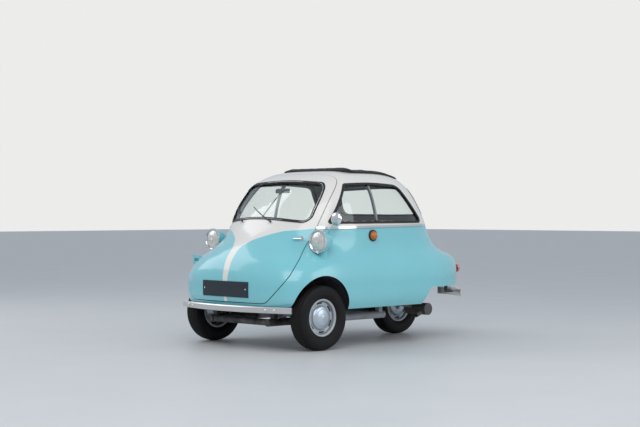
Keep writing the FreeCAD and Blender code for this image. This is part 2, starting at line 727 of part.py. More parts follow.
flash_height = size("indicator_height")
flash_side = skin_side(size("indicator_back"), flash_height)
flash_middle = Vector(flash_side - 26, aft(size("indicator_back")), flash_height)
flash_radius = size("indicator_radius")
base = seated(Part.makeCylinder(flash_radius, 38, flash_middle, Vector(1, 0, 0)))
piece("indicator_bases", both_sides(base))
amber = Part.makeSphere(flash_radius - 8, flash_middle + Vector(32, 0, 0))
amber = amber.cut(block((0, -far, 0), (flash_side + 12 + clear, far, far)))
piece("indicator_lenses", both_sides(amber))
tail_front, tail_back = skin_ends(size("tail_lamp_side"), size("tail_lamp_height"))
tail_middle = Vector(size("tail_lamp_side"), tail_back - 40, size("tail_lamp_height"))
piece("tail_lamps", both_sides(seated(Part.makeCylinder(34, 62, tail_middle, Vector(0, 1, 0)))))

# Mirror on the left wing

mirror_foot = Vector(skin_side(150, 860) - 7, aft(150), 860)
mirror_head = Vector(size("mirror_side"), aft(150), size("mirror_height"))
mirror_stem = seated(rod(mirror_foot, mirror_head, 5))
glass_rim = size("mirror_radius")
mirror_bowl = turned_along_y([(8, 0), (8, glass_rim - 4), (4, glass_rim), (-4, glass_rim - 1), (-14, glass_rim * 0.8),
                              (-22, glass_rim * 0.45), (-25, 0)], mirror_head)
piece("wing_mirror", fused([mirror_stem, mirror_bowl]))

# Floor pan with its two wheel housings, the bulkhead behind the seat and the rear shelf

sheet = size("floor_sheet")
floor_low = size("floor_height") - sheet
housing_middle = Vector(0, front_axle, size("housing_height"))
housing_radius = size("housing_radius")
housing_side = size("track") / 2 - size("housing_inset")
half_room = half_skin(size("wall") + clear)


def housing_drum(radius, start):
    """A cylinder about the wheel housings' axis, from one side outwards."""
    return Part.makeCylinder(radius, far, housing_middle + Vector(start, 0, 0), Vector(1, 0, 0))


bulkhead = aft(size("bulkhead_back"))
floor_half = fused([block((0, aft(-370), floor_low), (far, bulkhead, size("floor_height"))),
                    housing_drum(housing_radius + sheet, housing_side - sheet)])
floor_half = floor_half.cut(housing_drum(housing_radius, housing_side)).common(half_room)
piece("floor_pan", joined_halves(floor_half.Solids[0]))
panel = size("bulkhead_sheet")
shelf_half = fused([block((0, bulkhead + clear, floor_low), (far, bulkhead + panel, size("shelf_height"))),
                    block((0, bulkhead + clear, size("shelf_height") - panel), (far, far, size("shelf_height")))])
piece("rear_shelf", joined_halves(shelf_half.common(half_room).Solids[0]))

# Seat: a steel box, a cushion and a leaning back

cushion_top = size("seat_height")
cushion_low = cushion_top - size("seat_thickness")
seat_half = size("seat_half_width")
box_low = size("floor_height") + clear
piece("seat_base", side_profile([(650, box_low), (1000, box_low), (1020, cushion_low - clear),
                                 (630, cushion_low - clear)], seat_half - 30))
piece("seat_cushion", side_profile([(612, cushion_low), (1036, cushion_low), (1036, cushion_top), (640, cushion_top),
                                    (596, cushion_top - 30),
                                    (596, cushion_low + 40)], seat_half))
piece("seat_back", side_profile([(958, cushion_top + clear), (1044, cushion_top + clear), (1072, 900),
                                 (1066, 962), (1044, 972), (1018, 962)], seat_half))

# Chassis: side and cross tubes, pads below the floor and bearers for the engine

tube = size("frame_tube")
side = size("frame_half_width")
level = size("frame_height")
bearer = size("bearer")
frame_back = before_rear("frame_back")
tubes = [rod((x, aft(-270), level), (x, aft(frame_back), level), tube) for x in (-side, side)]
cross_back = frame_back - tube - 8
cross_tube = tube - 4
engine_middle = (size("engine_outside") + size("engine_inside")) / 2
tubes += [rod((-side, aft(s), level), (side, aft(s), level), cross_tube) for s in (-235, 480)]
tubes += [rod((-engine_middle - 130, aft(cross_back), level), (side, aft(cross_back), level), cross_tube)]
tubes += [rod((x, aft(cross_back), level), (x, aft(before_rear("engine_front") + size("engine_length")), level), bearer)
          for x in (-engine_middle - 100, -engine_middle + 100)]
pads = [block((x - 20, aft(s) - 20, level), (x + 20, aft(s) + 20, floor_low - clear))
        for x in (-side, side) for s in (-200, 480, frame_back - 50)]
jack = size("jack_pad")
pads += [block((x - jack, aft(480) - jack, level - tube - 8), (x + jack, aft(480) + jack, level - 10))
         for x in (-side, side)]
piece("chassis_frame", fused(tubes + pads))

# Front suspension: an arm and a spring leg on each side, with the kingpin's seat

kingpin = size("track") / 2 - size("kingpin_inset")
pin = size("pin_radius")


def suspension():
    """The left arm and spring leg."""
    outline = [(side, -95), (kingpin - 4, -22), (kingpin - 4, 22), (side, 95), (side, 60), (side + 70, 0), (side, -60)]
    places = [Vector(x, aft(s), level - 12) for x, s in outline]
    arm = Part.Face(Part.makePolygon(places + places[:1])).extrude(Vector(0, 0, 26))
    eye = Part.makeCylinder(pin + 6, 26, Vector(kingpin, aft(0), level - 12), Vector(0, 0, 1))
    strut = size("track") / 2 - size("strut_inset")
    top = size("housing_height") + math.sqrt(housing_radius ** 2 - 15 ** 2) - clear
    profile = [(0, level), (15, level), (15, level + 30), (34, level + 30), (34, level + 40)]
    turns = 11
    for k in range(turns):
        low = level + 40 + (top - 60 - level - 40) * k / turns
        profile += [(22, low), (30, low + (top - 100 - level) / turns / 2)]
    profile += [(22, top - 60), (34, top - 60), (34, top - 52), (15, top - 52), (15, top), (0, top)]
    places = [Vector(strut + r, aft(0), z) for r, z in profile]
    leg = Part.Face(Part.makePolygon(places + places[:1])).revolve(Vector(strut, aft(0), 0), Vector(0, 0, 1), 360)
    joined = fused([arm, eye, leg])
    joined = joined.cut(Part.makeCylinder(pin + size("run_gap"), 200, Vector(kingpin, aft(0), level - 60), Vector(0, 0, 1)))
    return joined.cut(rod((side, aft(-400), level), (side, aft(400), level), tube + clear))


piece("front_suspension", both_sides(suspension()))


def knuckle(label, hand):
    """One steering knuckle with its kingpin, axle and lever; hand is 1 on the left and -1 on the right."""
    tall = size("kingpin_length")
    post = Part.makeCylinder(pin, tall, Vector(kingpin, aft(0), hub_height - tall / 2), Vector(0, 0, 1))
    axle = rod((kingpin, aft(0), hub_height), (size("track") / 2 + 8, aft(0), hub_height), size("axle_radius"))
    lever = rod((kingpin, aft(0), hub_height + 55), (kingpin - 40, aft(105), hub_height + 55), 8)
    shape = fused([post, axle, lever])
    return piece(label, shape if hand > 0 else mirrored(shape))


knuckle("knuckle_left", 1)
knuckle("knuckle_right", -1)

# Wheels: a steel disc wheel with its domed cap, and a tyre

WHEELS = [
    ("front_left", "sizes.track / 2", FRONT_AXLE_Y, 0),
    ("front_right", "-sizes.track / 2", FRONT_AXLE_Y, 180),
    ("rear", "0 * sizes.track", REAR_AXLE_Y, 0),
]
BEAD = "(sizes.rim_width / 2 - 4 * sizes.rim_width / 96)"
TYRE_SIDE = [
    ("-" + BEAD, "sizes.rim_radius - 10"),
    ("-" + BEAD, "sizes.rim_radius + 4"),
    ("-sizes.tyre_width * 0.42", "sizes.rim_radius + 18"),
    ("-sizes.tyre_width * 0.485", "sizes.rim_radius + 38"),
    ("-sizes.tyre_width / 2", "sizes.rim_radius + 58"),
    ("-sizes.tyre_width * 0.475", "sizes.tyre_radius - 24"),
    ("-sizes.tyre_width * 0.42", "sizes.tyre_radius - 9"),
    ("-sizes.tyre_width * 0.28", "sizes.tyre_radius - 2"),
    ("-sizes.tyre_width * 0.1", "sizes.tyre_radius"),
]
TYRE_CORNERS = TYRE_SIDE + [(text[1:], radius) for text, radius in reversed(TYRE_SIDE)]
WHEEL_CORNERS = [
    ("sizes.wheel_offset + sizes.cap_height + 6", "0 * sizes.cap_radius"),
    ("sizes.wheel_offset + sizes.cap_height + 4", "sizes.cap_radius * 0.32"),
    ("sizes.wheel_offset + sizes.cap_height - 2", "sizes.cap_radius * 0.65"),
    ("sizes.wheel_offset + sizes.cap_height * 0.6", "sizes.cap_radius * 0.9"),
    ("sizes.wheel_offset + 6", "sizes.cap_radius"),
    ("sizes.wheel_offset", "sizes.cap_radius + 4"),
    ("sizes.wheel_offset + 4", "sizes.rim_radius - 22"),
    ("sizes.rim_width / 2", "sizes.rim_radius - 16"),
    ("sizes.rim_width / 2 + 1", "sizes.rim_radius"),
    ("sizes.rim_width / 2 - 3.7", "sizes.rim_radius"),
    ("sizes.rim_width / 2 - 3.7", "sizes.rim_radius - 10.3"),
    ("-sizes.rim_width / 2 + 3.7", "sizes.rim_radius - 10.3"),
    ("-sizes.rim_width / 2 + 3.7", "sizes.rim_radius"),
    ("-sizes.rim_width / 2 - 1", "sizes.rim_radius"),
    ("-sizes.rim_width / 2", "sizes.rim_radius - 18"),
    ("sizes.wheel_offset - 10", "sizes.rim_radius - 20"),
    ("sizes.wheel_offset - 8", "60"),
    ("-34", "44"),
    ("-34", "sizes.axle_radius + sizes.run_gap"),
    ("12", "sizes.axle_radius + sizes.run_gap"),
    ("12", "0 * sizes.cap_radius"),
]
for name, across, along, turn in WHEELS:
    for label, corners in (("tyre_" + name, TYRE_CORNERS), ("wheel_" + name, WHEEL_CORNERS)):
        wheel = turned(label, "XZ_Plane", "H_Axis", corners, (across, along, "sizes.tyre_radius"))
        wheel.Placement = FreeCAD.Placement(Vector(0, 0, 0), FreeCAD.Rotation(Vector(0, 0, 1), turn))

# Rear axle: trailing arm with its chain case, spring leaf and shaft, right of the wheel

arm_side = -size("rear_arm_side")
arm_start = cross_back + cross_tube + clear
arm_low = level - 20
rear_arm = [
    block((arm_side - 11, aft(arm_start), arm_low), (arm_side + 11, rear_axle + 30, level + 20)),
    rod((arm_side - 20, rear_axle, hub_height), (arm_side + 20, rear_axle, hub_height), 42),
    rod((arm_side, rear_axle, hub_height), (8, rear_axle, hub_height), size("axle_radius")),
    block((arm_side - 22, aft(arm_start) + 30, level + 34), (arm_side + 22, rear_axle + 20, level + 46)),
    block((arm_side - 14, aft(arm_start), arm_low), (arm_side + 14, aft(arm_start) + 40, level + 46)),
]
piece("rear_axle", fused(rear_arm))

# Engine, one plain block on the bearers right of the rear wheel

engine_low = level + bearer + clear
engine_start = before_rear("engine_front")
engine_end = engine_start + size("engine_length")
piece("engine", block((-size("engine_outside"), aft(engine_start), engine_low),
                      (-size("engine_inside"), aft(engine_end), engine_low + size("engine_tall"))))

# Silencer across the tail, left of the rear wheel, with its pipe from the engine and its outlet

can_place = Vector(130, rear_axle + 30, 222)
silencer = [Part.makeCylinder(50, 225, can_place, Vector(1, 0, 0))]
outlet = rod((310, rear_axle, 200), (310, rear_axle - 75, 173), 19)
silencer.append(outlet)
pipe_start = rear_axle - 272
feed = bent_tube([(200, rear_axle + 20, 230), (200, pipe_start, 290), (-size("engine_inside") + clear, pipe_start, 290)],
                 15, 40)
silencer.append(feed)
silencer = fused(silencer).cut(rod((310, rear_axle - 30, 189.2), (310, rear_axle - 85, 169.4), 16))
piece("silencer", silencer)

# Door fittings: dash shelf, steering column with its strut, handle, wipers, mirror and hinge

piece("dash", housed(block((-300, aft(-400), 762), (300, aft(-60), 788))))
column_side = size("column_side")
column_top = Vector(column_side, aft(280), 784)
column_foot = Vector(column_side, aft(-150), 420)
column_way = (column_top - column_foot).normalize()
column_middle = column_foot + (column_top - column_foot) * 0.3
strut = rod(column_middle, (column_side, aft(-400), 540), 12)
piece("steering_column", housed(fused([rod(column_foot, column_top, 16), strut])))


def steering_wheel():
    """Rim, three spokes and hub, square to the column."""
    ring_radius = size("steering_wheel_radius") - size("steering_rim")
    middle = column_top + column_way * 30
    ring = Part.makeTorus(ring_radius, size("steering_rim"), middle, column_way)
    hub = Part.makeCylinder(26, 40, column_top + column_way * clear, column_way)
    right = Vector(1, 0, 0)
    up = column_way.cross(right).normalize()
    spokes = []
    for degrees in (0, 120, 240):
        angle = math.radians(degrees + 90)
        reach_way = right * math.cos(angle) + up * math.sin(angle)
        spokes.append(rod(middle, middle + reach_way * ring_radius, 7))
    return fused([ring, hub] + spokes)


piece("steering_wheel", steering_wheel())
handle_place = Vector(440, skin_ends(440, 832)[0], 832)
handle_way = Vector(0.703, -0.711, 0).normalize()
escutcheon = Part.makeCylinder(18, 26, handle_place - handle_way * 14, handle_way)
handle_end = handle_place + handle_way * 22
lever_way = Vector(-0.711, -0.703, 0)
lever = rod(handle_end - handle_way * 12, handle_end, 9).fuse(rod(handle_end, handle_end + lever_way * 62, 7))
piece("door_handle", seated(fused([escutcheon, lever])))

screen_low = Vector(0, aft(-80), 983)
screen_high = Vector(0, aft(222), 1277)
screen_way = (screen_high - screen_low).normalize()
screen_out = Vector(0, -screen_way.z, screen_way.y)


def on_screen(side, height, lift):
    """A point over the windscreen's face, lifted square to it."""
    front = skin_ends(abs(side), height)[0]
    across = skin_ends(abs(side) + 10, height)[0] - front
    up = skin_ends(abs(side), height + 10)[0] - front
    outwards = Vector(across * (1 if side > 0 else -1), -10, up).normalize()
    return Vector(side, front, height) + outwards * lift


def wiper(base_side, reach_side, rise):
    """One wiper: spindle, arm over the seal, and a blade that lies on the glass."""
    base_height = 957
    shares = [(0, 3), (0.14, 15), (0.5, 13), (0.76, 3)]
    arm = [on_screen(base_side - reach_side * t, base_height + rise * t, lift) for t, lift in shares]
    blade = [on_screen(base_side - reach_side * t, base_height + rise * t, -3.6) for t in (0.56, 0.7, 0.84, 1)]
    bars = [seated(rod(on_screen(base_side, base_height, -6), on_screen(base_side, base_height, 18), 8))]
    bars += [rod(a, b, 3.2) for a, b in zip(arm[1:], arm[2:])]
    bars.append(seated(rod(arm[0], arm[1], 4)))
    bars += [rod(a, b, 3.6) for a, b in zip(blade, blade[1:])]
    return fused(bars)


piece("wipers", Part.makeCompound([wiper(153, 302, 118), wiper(-179, 250, 118)]))
mirror_rod = rod(screen_low - screen_way * 22 - screen_out * 33, screen_high + screen_way * 22 - screen_out * 33, 5)
glass_place = screen_low + screen_way * 330 - screen_out * 46
mirror_box = Part.makeBox(150, 14, 44, Vector(-75, glass_place.y, glass_place.z))
piece("interior_mirror", housed(fused([mirror_rod, mirror_box])))

# Door hinge: two barrels on the door and one between them on the body, outside the skin

hinge_place = Vector(-size("door_swing_side"), aft(size("door_swing_back")), 0)


def barrel(low, high, hole):
    """A hinge barrel about the door's axis."""
    outside_part = Part.makeCylinder(10, high - low, hinge_place + Vector(0, 0, low), Vector(0, 0, 1))
    return outside_part.cut(Part.makeCylinder(hole, high - low, hinge_place + Vector(0, 0, low), Vector(0, 0, 1)))


def hinge_leaf(low, high, target):
    """A flat leaf from the hinge barrel to the skin."""
    way = (Vector(*target) - hinge_place)
    way.z = 0
    across = Vector(-way.y, way.x, 0).normalize() * 6
    start = hinge_place + way.normalize() * 9
    end = Vector(target[0], target[1], 0)
    places = [start + across, end + across, end - across, start - across]
    places = [Vector(p.x, p.y, low) for p in places]
    return Part.Face(Part.makePolygon(places + places[:1])).extrude(Vector(0, 0, high - low))


door_leaf = []
for low, high in ((618, 643), (667, 692)):
    part = barrel(low, high, 6 + size("run_gap")).fuse(hinge_leaf(low, high, (-480, aft(-240), 0)))
    door_leaf.append(sorted(part.cut(outside).Solids, key=lambda one: -one.Volume)[0])
piece("door_hinge", Part.makeCompound(door_leaf))
pin_rod = Part.makeCylinder(6, 74, hinge_place + Vector(0, 0, 618), Vector(0, 0, 1))
body_leaf = fused([barrel(643.3, 666.7, 5.5), pin_rod, hinge_leaf(643.3, 666.7, (-575, aft(-60), 0))])
piece("body_hinge", sorted(body_leaf.cut(outside).Solids, key=lambda one: -one.Volume)[0])

# Pedals and the two levers on the floor

pedals = []
for x in (-330, -245, -160):
    stalk = rod((x, aft(-150), box_low), (x, aft(-195), 360), 6)
    pedals.append(fused([stalk, block((x - 25, aft(-203), 345), (x + 25, aft(-193), 385))]))
lever_rod = rod((-20, aft(330), box_low), (-20, aft(280), 520), 8)
knob = Part.makeSphere(18, Vector(-20, aft(280), 520))
pedals.append(fused([lever_rod, knob]).cut(block((-far, -far, 0), (far, far, box_low))))
pedals = [one.cut(block((-far, -far, 0), (far, far, box_low))) for one in pedals]
piece("pedals_and_lever", Part.makeCompound(pedals))


def write_parts():
    """Check every object and every shape, then write one STEP file for each piece."""
    doc.recompute()
    faults = []
    for thing in doc.Objects:
        if any(word in thing.State for word in ("Invalid", "Error")):
            faults.append("%s is %s" % (thing.Label, thing.State))
    for thing in nodes:
        if thing.Shape.isNull() or not thing.Shape.isValid() or not thing.Shape.Solids:
            faults.append("%s has no valid shape" % thing.Label)
    if faults:
        raise RuntimeError("; ".join(faults))
    os.makedirs("parts", exist_ok=True)
    for thing in nodes:
        thing.Shape.exportStep(os.path.join("parts", thing.Label + ".step"))


write_parts()
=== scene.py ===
import json
import math

import bmesh
import bpy
import numpy as np
from mathutils import Matrix, Vector
from mathutils.bvhtree import BVHTree


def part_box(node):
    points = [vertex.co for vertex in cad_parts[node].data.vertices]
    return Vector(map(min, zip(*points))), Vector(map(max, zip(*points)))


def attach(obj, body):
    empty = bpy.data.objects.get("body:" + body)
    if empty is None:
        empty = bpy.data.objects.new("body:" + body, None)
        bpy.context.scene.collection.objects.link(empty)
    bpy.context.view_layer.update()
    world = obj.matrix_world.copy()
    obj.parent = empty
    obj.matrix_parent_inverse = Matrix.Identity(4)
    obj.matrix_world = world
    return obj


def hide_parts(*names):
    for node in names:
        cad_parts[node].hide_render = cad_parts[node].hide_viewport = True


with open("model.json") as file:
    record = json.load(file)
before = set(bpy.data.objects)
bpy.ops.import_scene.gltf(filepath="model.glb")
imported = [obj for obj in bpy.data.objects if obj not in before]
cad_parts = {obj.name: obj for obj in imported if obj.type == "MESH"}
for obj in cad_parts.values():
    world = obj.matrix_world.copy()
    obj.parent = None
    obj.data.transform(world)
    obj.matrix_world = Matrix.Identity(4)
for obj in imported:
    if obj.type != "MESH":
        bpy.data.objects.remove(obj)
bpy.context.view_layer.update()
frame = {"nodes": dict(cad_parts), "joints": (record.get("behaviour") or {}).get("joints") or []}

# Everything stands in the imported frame: metres, x to the car's left, y to its back, z up.
scene = bpy.context.scene
nodes = frame["nodes"]

# Studio. A pale floor under an even pale sky, three soft lamps, and a camera that stands
# level with the car's belt line, off its front left corner, with a long lens.
IMAGE_WIDTH = 640
SENSOR_WIDTH = 36
FOCAL_PIXELS = 1370
CAMERA_PLACE = (7.894, -7.905, 1.021)
CAMERA_TURN = math.radians(45.48)
SKY_LIGHT = (0.50, 0.55, 0.61, 1)
SKY_SEEN = (0.84, 0.84, 0.83, 1)
FLOOR_REACH = 60
# Each lamp's name, place, target, width and power.
LAMPS = [
    ("key_lamp", (4.5, -4.5, 5.5), (0, 0, 0.6), 5.5, 215),
    ("side_lamp", (6.5, 2.5, 3.0), (0, 0.2, 0.7), 4.0, 90),
    ("back_lamp", (-5.0, -3.0, 4.5), (0, 0, 0.8), 4.5, 105),
]


class Wire:
    """A socket in a material's nodes. Arithmetic on it adds Math nodes."""

    def __init__(self, tree, socket=None):
        self.tree, self.socket = tree, socket

    def add(self, kind, inputs, output=0, stops=None, **settings):
        """A node of a type, with its settings made first and then its sockets' values or links."""
        node = self.tree.nodes.new("ShaderNode" + kind)
        for name, value in settings.items():
            setattr(node, name, value)
        for k, (place, shade) in enumerate(stops or []):
            stop = node.color_ramp.elements[k] if k < 2 else node.color_ramp.elements.new(place)
            stop.position = place
            stop.color = (shade, shade, shade, 1)
        for key, value in inputs.items():
            if isinstance(value, Wire):
                self.tree.links.new(value.socket, node.inputs[key])
            else:
                node.inputs[key].default_value = value
        return Wire(self.tree, node.outputs[output])

    def maths(self, operation, *values):
        """This value through a Math node, with the further values that the operation takes."""
        return self.add("Math", dict(enumerate((self, *values))), operation=operation)

    def __add__(self, other):
        return self.maths("ADD", other)

    def __sub__(self, other):
        return self.maths("SUBTRACT", other)

    def __rsub__(self, other):
        return self.add("Math", {0: other, 1: self}, operation="SUBTRACT")

    def __mul__(self, other):
        return self.maths("MULTIPLY", other)

    def __truediv__(self, other):
        return self.maths("DIVIDE", other)

    def above(self, level, blur):
        """0 below a level and 1 above it, with a soft edge that is blur wide."""
        return self.add("MapRange", {0: self, 1: level - blur / 2, 2: level + blur / 2})

    def below(self, level, blur):
        """1 below a level and 0 above it."""
        return (self * -1.0).above(-level, blur)

    def size(self):
        """This value without its sign."""
        return self.maths("ABSOLUTE")

    def mix(self, low, high):
        """A colour between low and high, by this value."""
        return self.add("Mix", {0: self, 6: low, 7: high}, output=2, data_type="RGBA")

    def noise(self, scale, detail=3.0):
        """Cloudy noise from 0 to 1, for a wire that carries coordinates."""
        return self.add("TexNoise", {"Vector": self, "Scale": scale, "Detail": detail})

    def bump(self, height, strength, depth):
        """A normal from a height."""
        return self.add("Bump", {"Height": height, "Strength": strength, "Distance": depth})

    def coordinates(self):
        """The object's own coordinates, and their three parts."""
        place = self.add("TexCoord", {}, output="Object")
        return place, [self.add("SeparateXYZ", {0: place}, output=axis) for axis in "XYZ"]


def new_material(name, **fixed):
    """A material, a wire to build its nodes from, and a function that feeds its shader."""
    made = bpy.data.materials.new(name)
    made.use_nodes = True
    shader = made.node_tree.nodes["Principled BSDF"]

    def feed(**sockets):
        for key, value in sockets.items():
            socket = shader.inputs[key.replace("_", " ")]
            if isinstance(value, Wire):
                made.node_tree.links.new(value.socket, socket)
            else:
                socket.default_value = value

    feed(**fixed)
    return made, Wire(made.node_tree), feed


def wear(material, *names):
    """Give CAD pieces a material."""
    for name in names:
        nodes[name].data.materials.clear()
        nodes[name].data.materials.append(material)


camera = bpy.data.objects.new("camera", bpy.data.cameras.new("camera"))
camera.data.sensor_width = SENSOR_WIDTH
camera.data.lens = FOCAL_PIXELS / IMAGE_WIDTH * SENSOR_WIDTH
camera.data.clip_end = 200
turned = Matrix.Rotation(CAMERA_TURN, 4, "Z") @ Matrix.Rotation(math.pi / 2, 4, "X")
camera.matrix_world = Matrix.Translation(CAMERA_PLACE) @ turned
scene.collection.objects.link(camera)
scene.camera = camera
scene.view_settings.view_transform = "Standard"

world = bpy.data.worlds.new("studio")
scene.world = world
world.use_nodes = True
sky = Wire(world.node_tree)
camera_ray = sky.add("LightPath", {}, output="Is Camera Ray")
glass_ray = sky.add("LightPath", {}, output="Is Transmission Ray")
shade = (camera_ray + glass_ray).maths("MINIMUM", 1.0).mix(SKY_LIGHT, SKY_SEEN)
world.node_tree.links.new(shade.socket, world.node_tree.nodes["Background"].inputs["Color"])

for name, place, target, width, power in LAMPS:
    lamp = bpy.data.objects.new(name, bpy.data.lights.new(name, "AREA"))
    lamp.data.size = width
    lamp.data.energy = power
    lamp.location = place
    lamp.rotation_euler = (Vector(target) - Vector(place)).to_track_quat("-Z", "Y").to_euler()
    scene.collection.objects.link(lamp)

floor_mesh = bpy.data.meshes.new("floor")
corners = [(x * FLOOR_REACH, y * FLOOR_REACH, 0) for x, y in ((-1, -1), (1, -1), (1, 1), (-1, 1))]
floor_mesh.from_pydata(corners, [], [(0, 1, 2, 3)])
floor = bpy.data.objects.new("floor", floor_mesh)
scene.collection.objects.link(floor)
floor_finish, wire, feed = new_material("pale floor", Roughness=0.45)
place, _ = wire.coordinates()
feed(Base_Color=place.noise(1.4).mix((0.60, 0.60, 0.60, 1), (0.66, 0.66, 0.655, 1)))
floor_mesh.materials.append(floor_finish)

# Body and door panels. Pressed steel in two colours: warm white above the belt line and, on
# the door, above a curve that narrows to a stripe down the middle of the nose; turquoise below.
TURQUOISE = (0.215, 0.590, 0.650, 1)
WHITE = (0.800, 0.765, 0.715, 1)
BELT = 0.9225
BELT_RISE = 0.01565
BORDER_BLUR = 0.003
# Heights on the nose, each with half the width of the white there.
STRIPE = [(0.30, 0.012), (0.39, 0.016), (0.54, 0.028), (0.60, 0.031), (0.73, 0.037),
          (0.755, 0.040), (0.776, 0.050), (0.80, 0.078), (0.817, 0.095), (0.85, 0.175),
          (0.87, 0.235), (0.888, 0.300), (0.896, 0.400), (0.905, 0.480), (0.92, 0.60)]


def darker(colour, share):
    """A colour with its light cut down to a share."""
    return tuple(part * share for part in colour[:3]) + (1,)


def paint(name, border=None):
    """Glossy turquoise coachwork paint; border gives a white part's mask from wire and axes."""
    made, wire, feed = new_material(name, Coat_Weight=0.6, Coat_Roughness=0.08)
    place, axes = wire.coordinates()
    cloud = place.noise(3.0)
    colour = cloud.mix(TURQUOISE, darker(TURQUOISE, 0.94))
    if border:
        colour = border(wire, *axes).mix(colour, cloud.mix(WHITE, darker(WHITE, 0.95)))
    feed(Base_Color=colour, Roughness=place.noise(5.0) * 0.06 + 0.22,
         Normal=wire.bump(place.noise(160.0, 1.0), 0.02, 0.0002))
    return made


def body_border(wire, x, y, z):
    """White above the belt line, which rises a little towards the tail."""
    return (z - y * BELT_RISE).above(BELT, BORDER_BLUR)


def door_border(wire, x, y, z):
    """White inside a half width that grows with height."""
    low, top = STRIPE[0][0], STRIPE[-1][0]
    stops = [((height - low) / (top - low), width) for height, width in STRIPE]
    half = wire.add("ValToRGB", {0: (z - low) / (top - low)}, stops=stops)
    return (half - x.size()).above(0, BORDER_BLUR)


wear(paint("body paint", body_border), "body_shell")
wear(paint("door paint", door_border), "door_shell")
wear(paint("turquoise paint"), "headlamp_bowls", "body_hinge", "door_hinge", "dash")

# Cabin lining and underseal. Grained grey vinyl on the faces of body and door that look into
# the cabin, and black underseal low down inside and round the cut edges of the front arches.
LINING_LOW = 0.40
CABIN_ENDS = (-0.55, 0.45)
CABIN_LEVELS = (0.50, 1.05)
ARCH_PLACE = (-0.755, 0.302)
ARCH_RADIUS = 0.257
ARCH_EDGE = 0.002
LOOKS_IN = -0.35
# Places in a mesh's list of materials, after the paint.
LINED, SEALED = 1, 2


def grained(name, low, high, cloud, rough, grain, **fixed):
    """A material that is cloudy between two colours, uneven in gloss and finely grained.

    cloud is the clouds' scale and detail; rough is the scale, spread and least value of the
    roughness; grain is the scale, detail, strength and depth of the bumps.
    """
    made, wire, feed = new_material(name, **fixed)
    place, _ = wire.coordinates()
    rough_scale, spread, least = rough
    grain_scale, detail, strength, depth = grain
    feed(Base_Color=place.noise(*cloud).mix(low, high),
         Roughness=place.noise(rough_scale) * spread + least,
         Normal=wire.bump(place.noise(grain_scale, detail), strength, depth))
    return made


vinyl = grained("lining vinyl", (0.33, 0.33, 0.32, 1), (0.39, 0.385, 0.37, 1), cloud=(40.0, 3.0),
                rough=(12.0, 0.15, 0.5), grain=(520.0, 2.0, 0.2, 0.0004), Specular_IOR_Level=0.3)
underseal = grained("underseal", (0.010, 0.010, 0.010, 1), (0.022, 0.021, 0.020, 1),
                    cloud=(30.0, 3.0), rough=(9.0, 0.15, 0.65), grain=(260.0, 2.0, 0.3, 0.0008),
                    Specular_IOR_Level=0.2)
for name in ("body_shell", "door_shell"):
    mesh = nodes[name].data
    mesh.materials.append(vinyl)
    mesh.materials.append(underseal)
    for polygon in mesh.polygons:
        centre = polygon.center
        cabin = [min(max(value, low), high)
                 for value, (low, high) in zip(centre.yz, (CABIN_ENDS, CABIN_LEVELS))]
        outwards = (centre - Vector((0, *cabin))).normalized()
        from_arch = math.hypot(centre.y - ARCH_PLACE[0], max(centre.z - ARCH_PLACE[1], 0))
        cut_edge = abs(from_arch - ARCH_RADIUS) < ARCH_EDGE and abs(polygon.normal.x) < 0.5
        if name == "body_shell" and cut_edge:
            polygon.material_index = SEALED
        elif polygon.normal.dot(outwards) < LOOKS_IN:
            polygon.material_index = LINED if centre.z > LINING_LOW else SEALED

# Windows. Clear safety glass, the front pane curved with the nose, and each pane in a
# black rubber seal that is lipped over the steel.
PANE_SPLIT = -0.1
SPLIT_HALF = 0.0075
SPLIT_ENDS = (0.968, 1.236)

glass, wire, feed = new_material("window glass", Base_Color=(0.92, 0.95, 0.95, 1), Metallic=1.0,
                                 Roughness=0.02)
mirror_part = Wire(glass.node_tree, glass.node_tree.nodes["Principled BSDF"].outputs[0])
clear_part = wire.add("BsdfTransparent", {0: (0.955, 0.975, 0.97, 1)})
place, _ = wire.coordinates()
facing = wire.add("LayerWeight", {"Blend": 0.5}, output="Facing")
gloss = facing.maths("POWER", 4.0) * (place.noise(3.0) * 0.1 + 0.55) + 0.035
mixed = wire.add("MixShader", {0: gloss, 1: clear_part, 2: mirror_part})
glass.node_tree.links.new(mixed.socket, glass.node_tree.nodes["Material Output"].inputs["Surface"])
wear(glass, "body_windows", "windscreen")


def seal_finish(name, divided):
    """Black rubber; divided turns the upright between the side panes to dull alloy."""
    made, wire, feed = new_material(name, Specular_IOR_Level=0.35)
    place, axes = wire.coordinates()
    dark = place.noise(60.0).mix((0.012, 0.012, 0.013, 1), (0.03, 0.03, 0.032, 1))
    if divided:
        low, high = SPLIT_ENDS
        upright = (axes[1] - PANE_SPLIT).size().below(SPLIT_HALF, 0.0005)
        bare = upright * axes[2].above(low, 0.002) * axes[2].below(high, 0.002)
        dark = bare.mix(dark, (0.24, 0.255, 0.265, 1))
    feed(Base_Color=dark, Roughness=place.noise(25.0) * 0.2 + 0.42,
         Normal=wire.bump(place.noise(700.0), 0.2, 0.0004))
    return made


wear(seal_finish("side seal rubber", True), "body_window_seals")
wear(seal_finish("seal rubber", False), "windscreen_seal", "indicator_bases")

# Window trim. A bright filler strip lies in the middle of the windscreen's seal all round. It
# is drawn on the nose's face: points on a rounded outline, each dropped back on to the seal.
TRIM_STEP = 0.012
TRIM_RADIUS = 0.0016
AHEAD = -3.0
BACKWARDS = Vector((0, 1, 0))
# The outline's left half, as corners of (across, up, radius).
SCREEN_CORNERS = [(0.0, 0.9985, 2.3), (0.4455, 0.9530, 0.052), (0.4500, 1.1100, 0.7),
                  (0.4235, 1.2540, 0.080), (0.0, 1.2805, 3.0)]


def face_tree(name):
    """A search tree of a CAD piece's faces, to drop points on."""
    mesh = nodes[name].data
    return BVHTree.FromPolygons([vertex.co.copy() for vertex in mesh.vertices],
                                [list(polygon.vertices) for polygon in mesh.polygons])


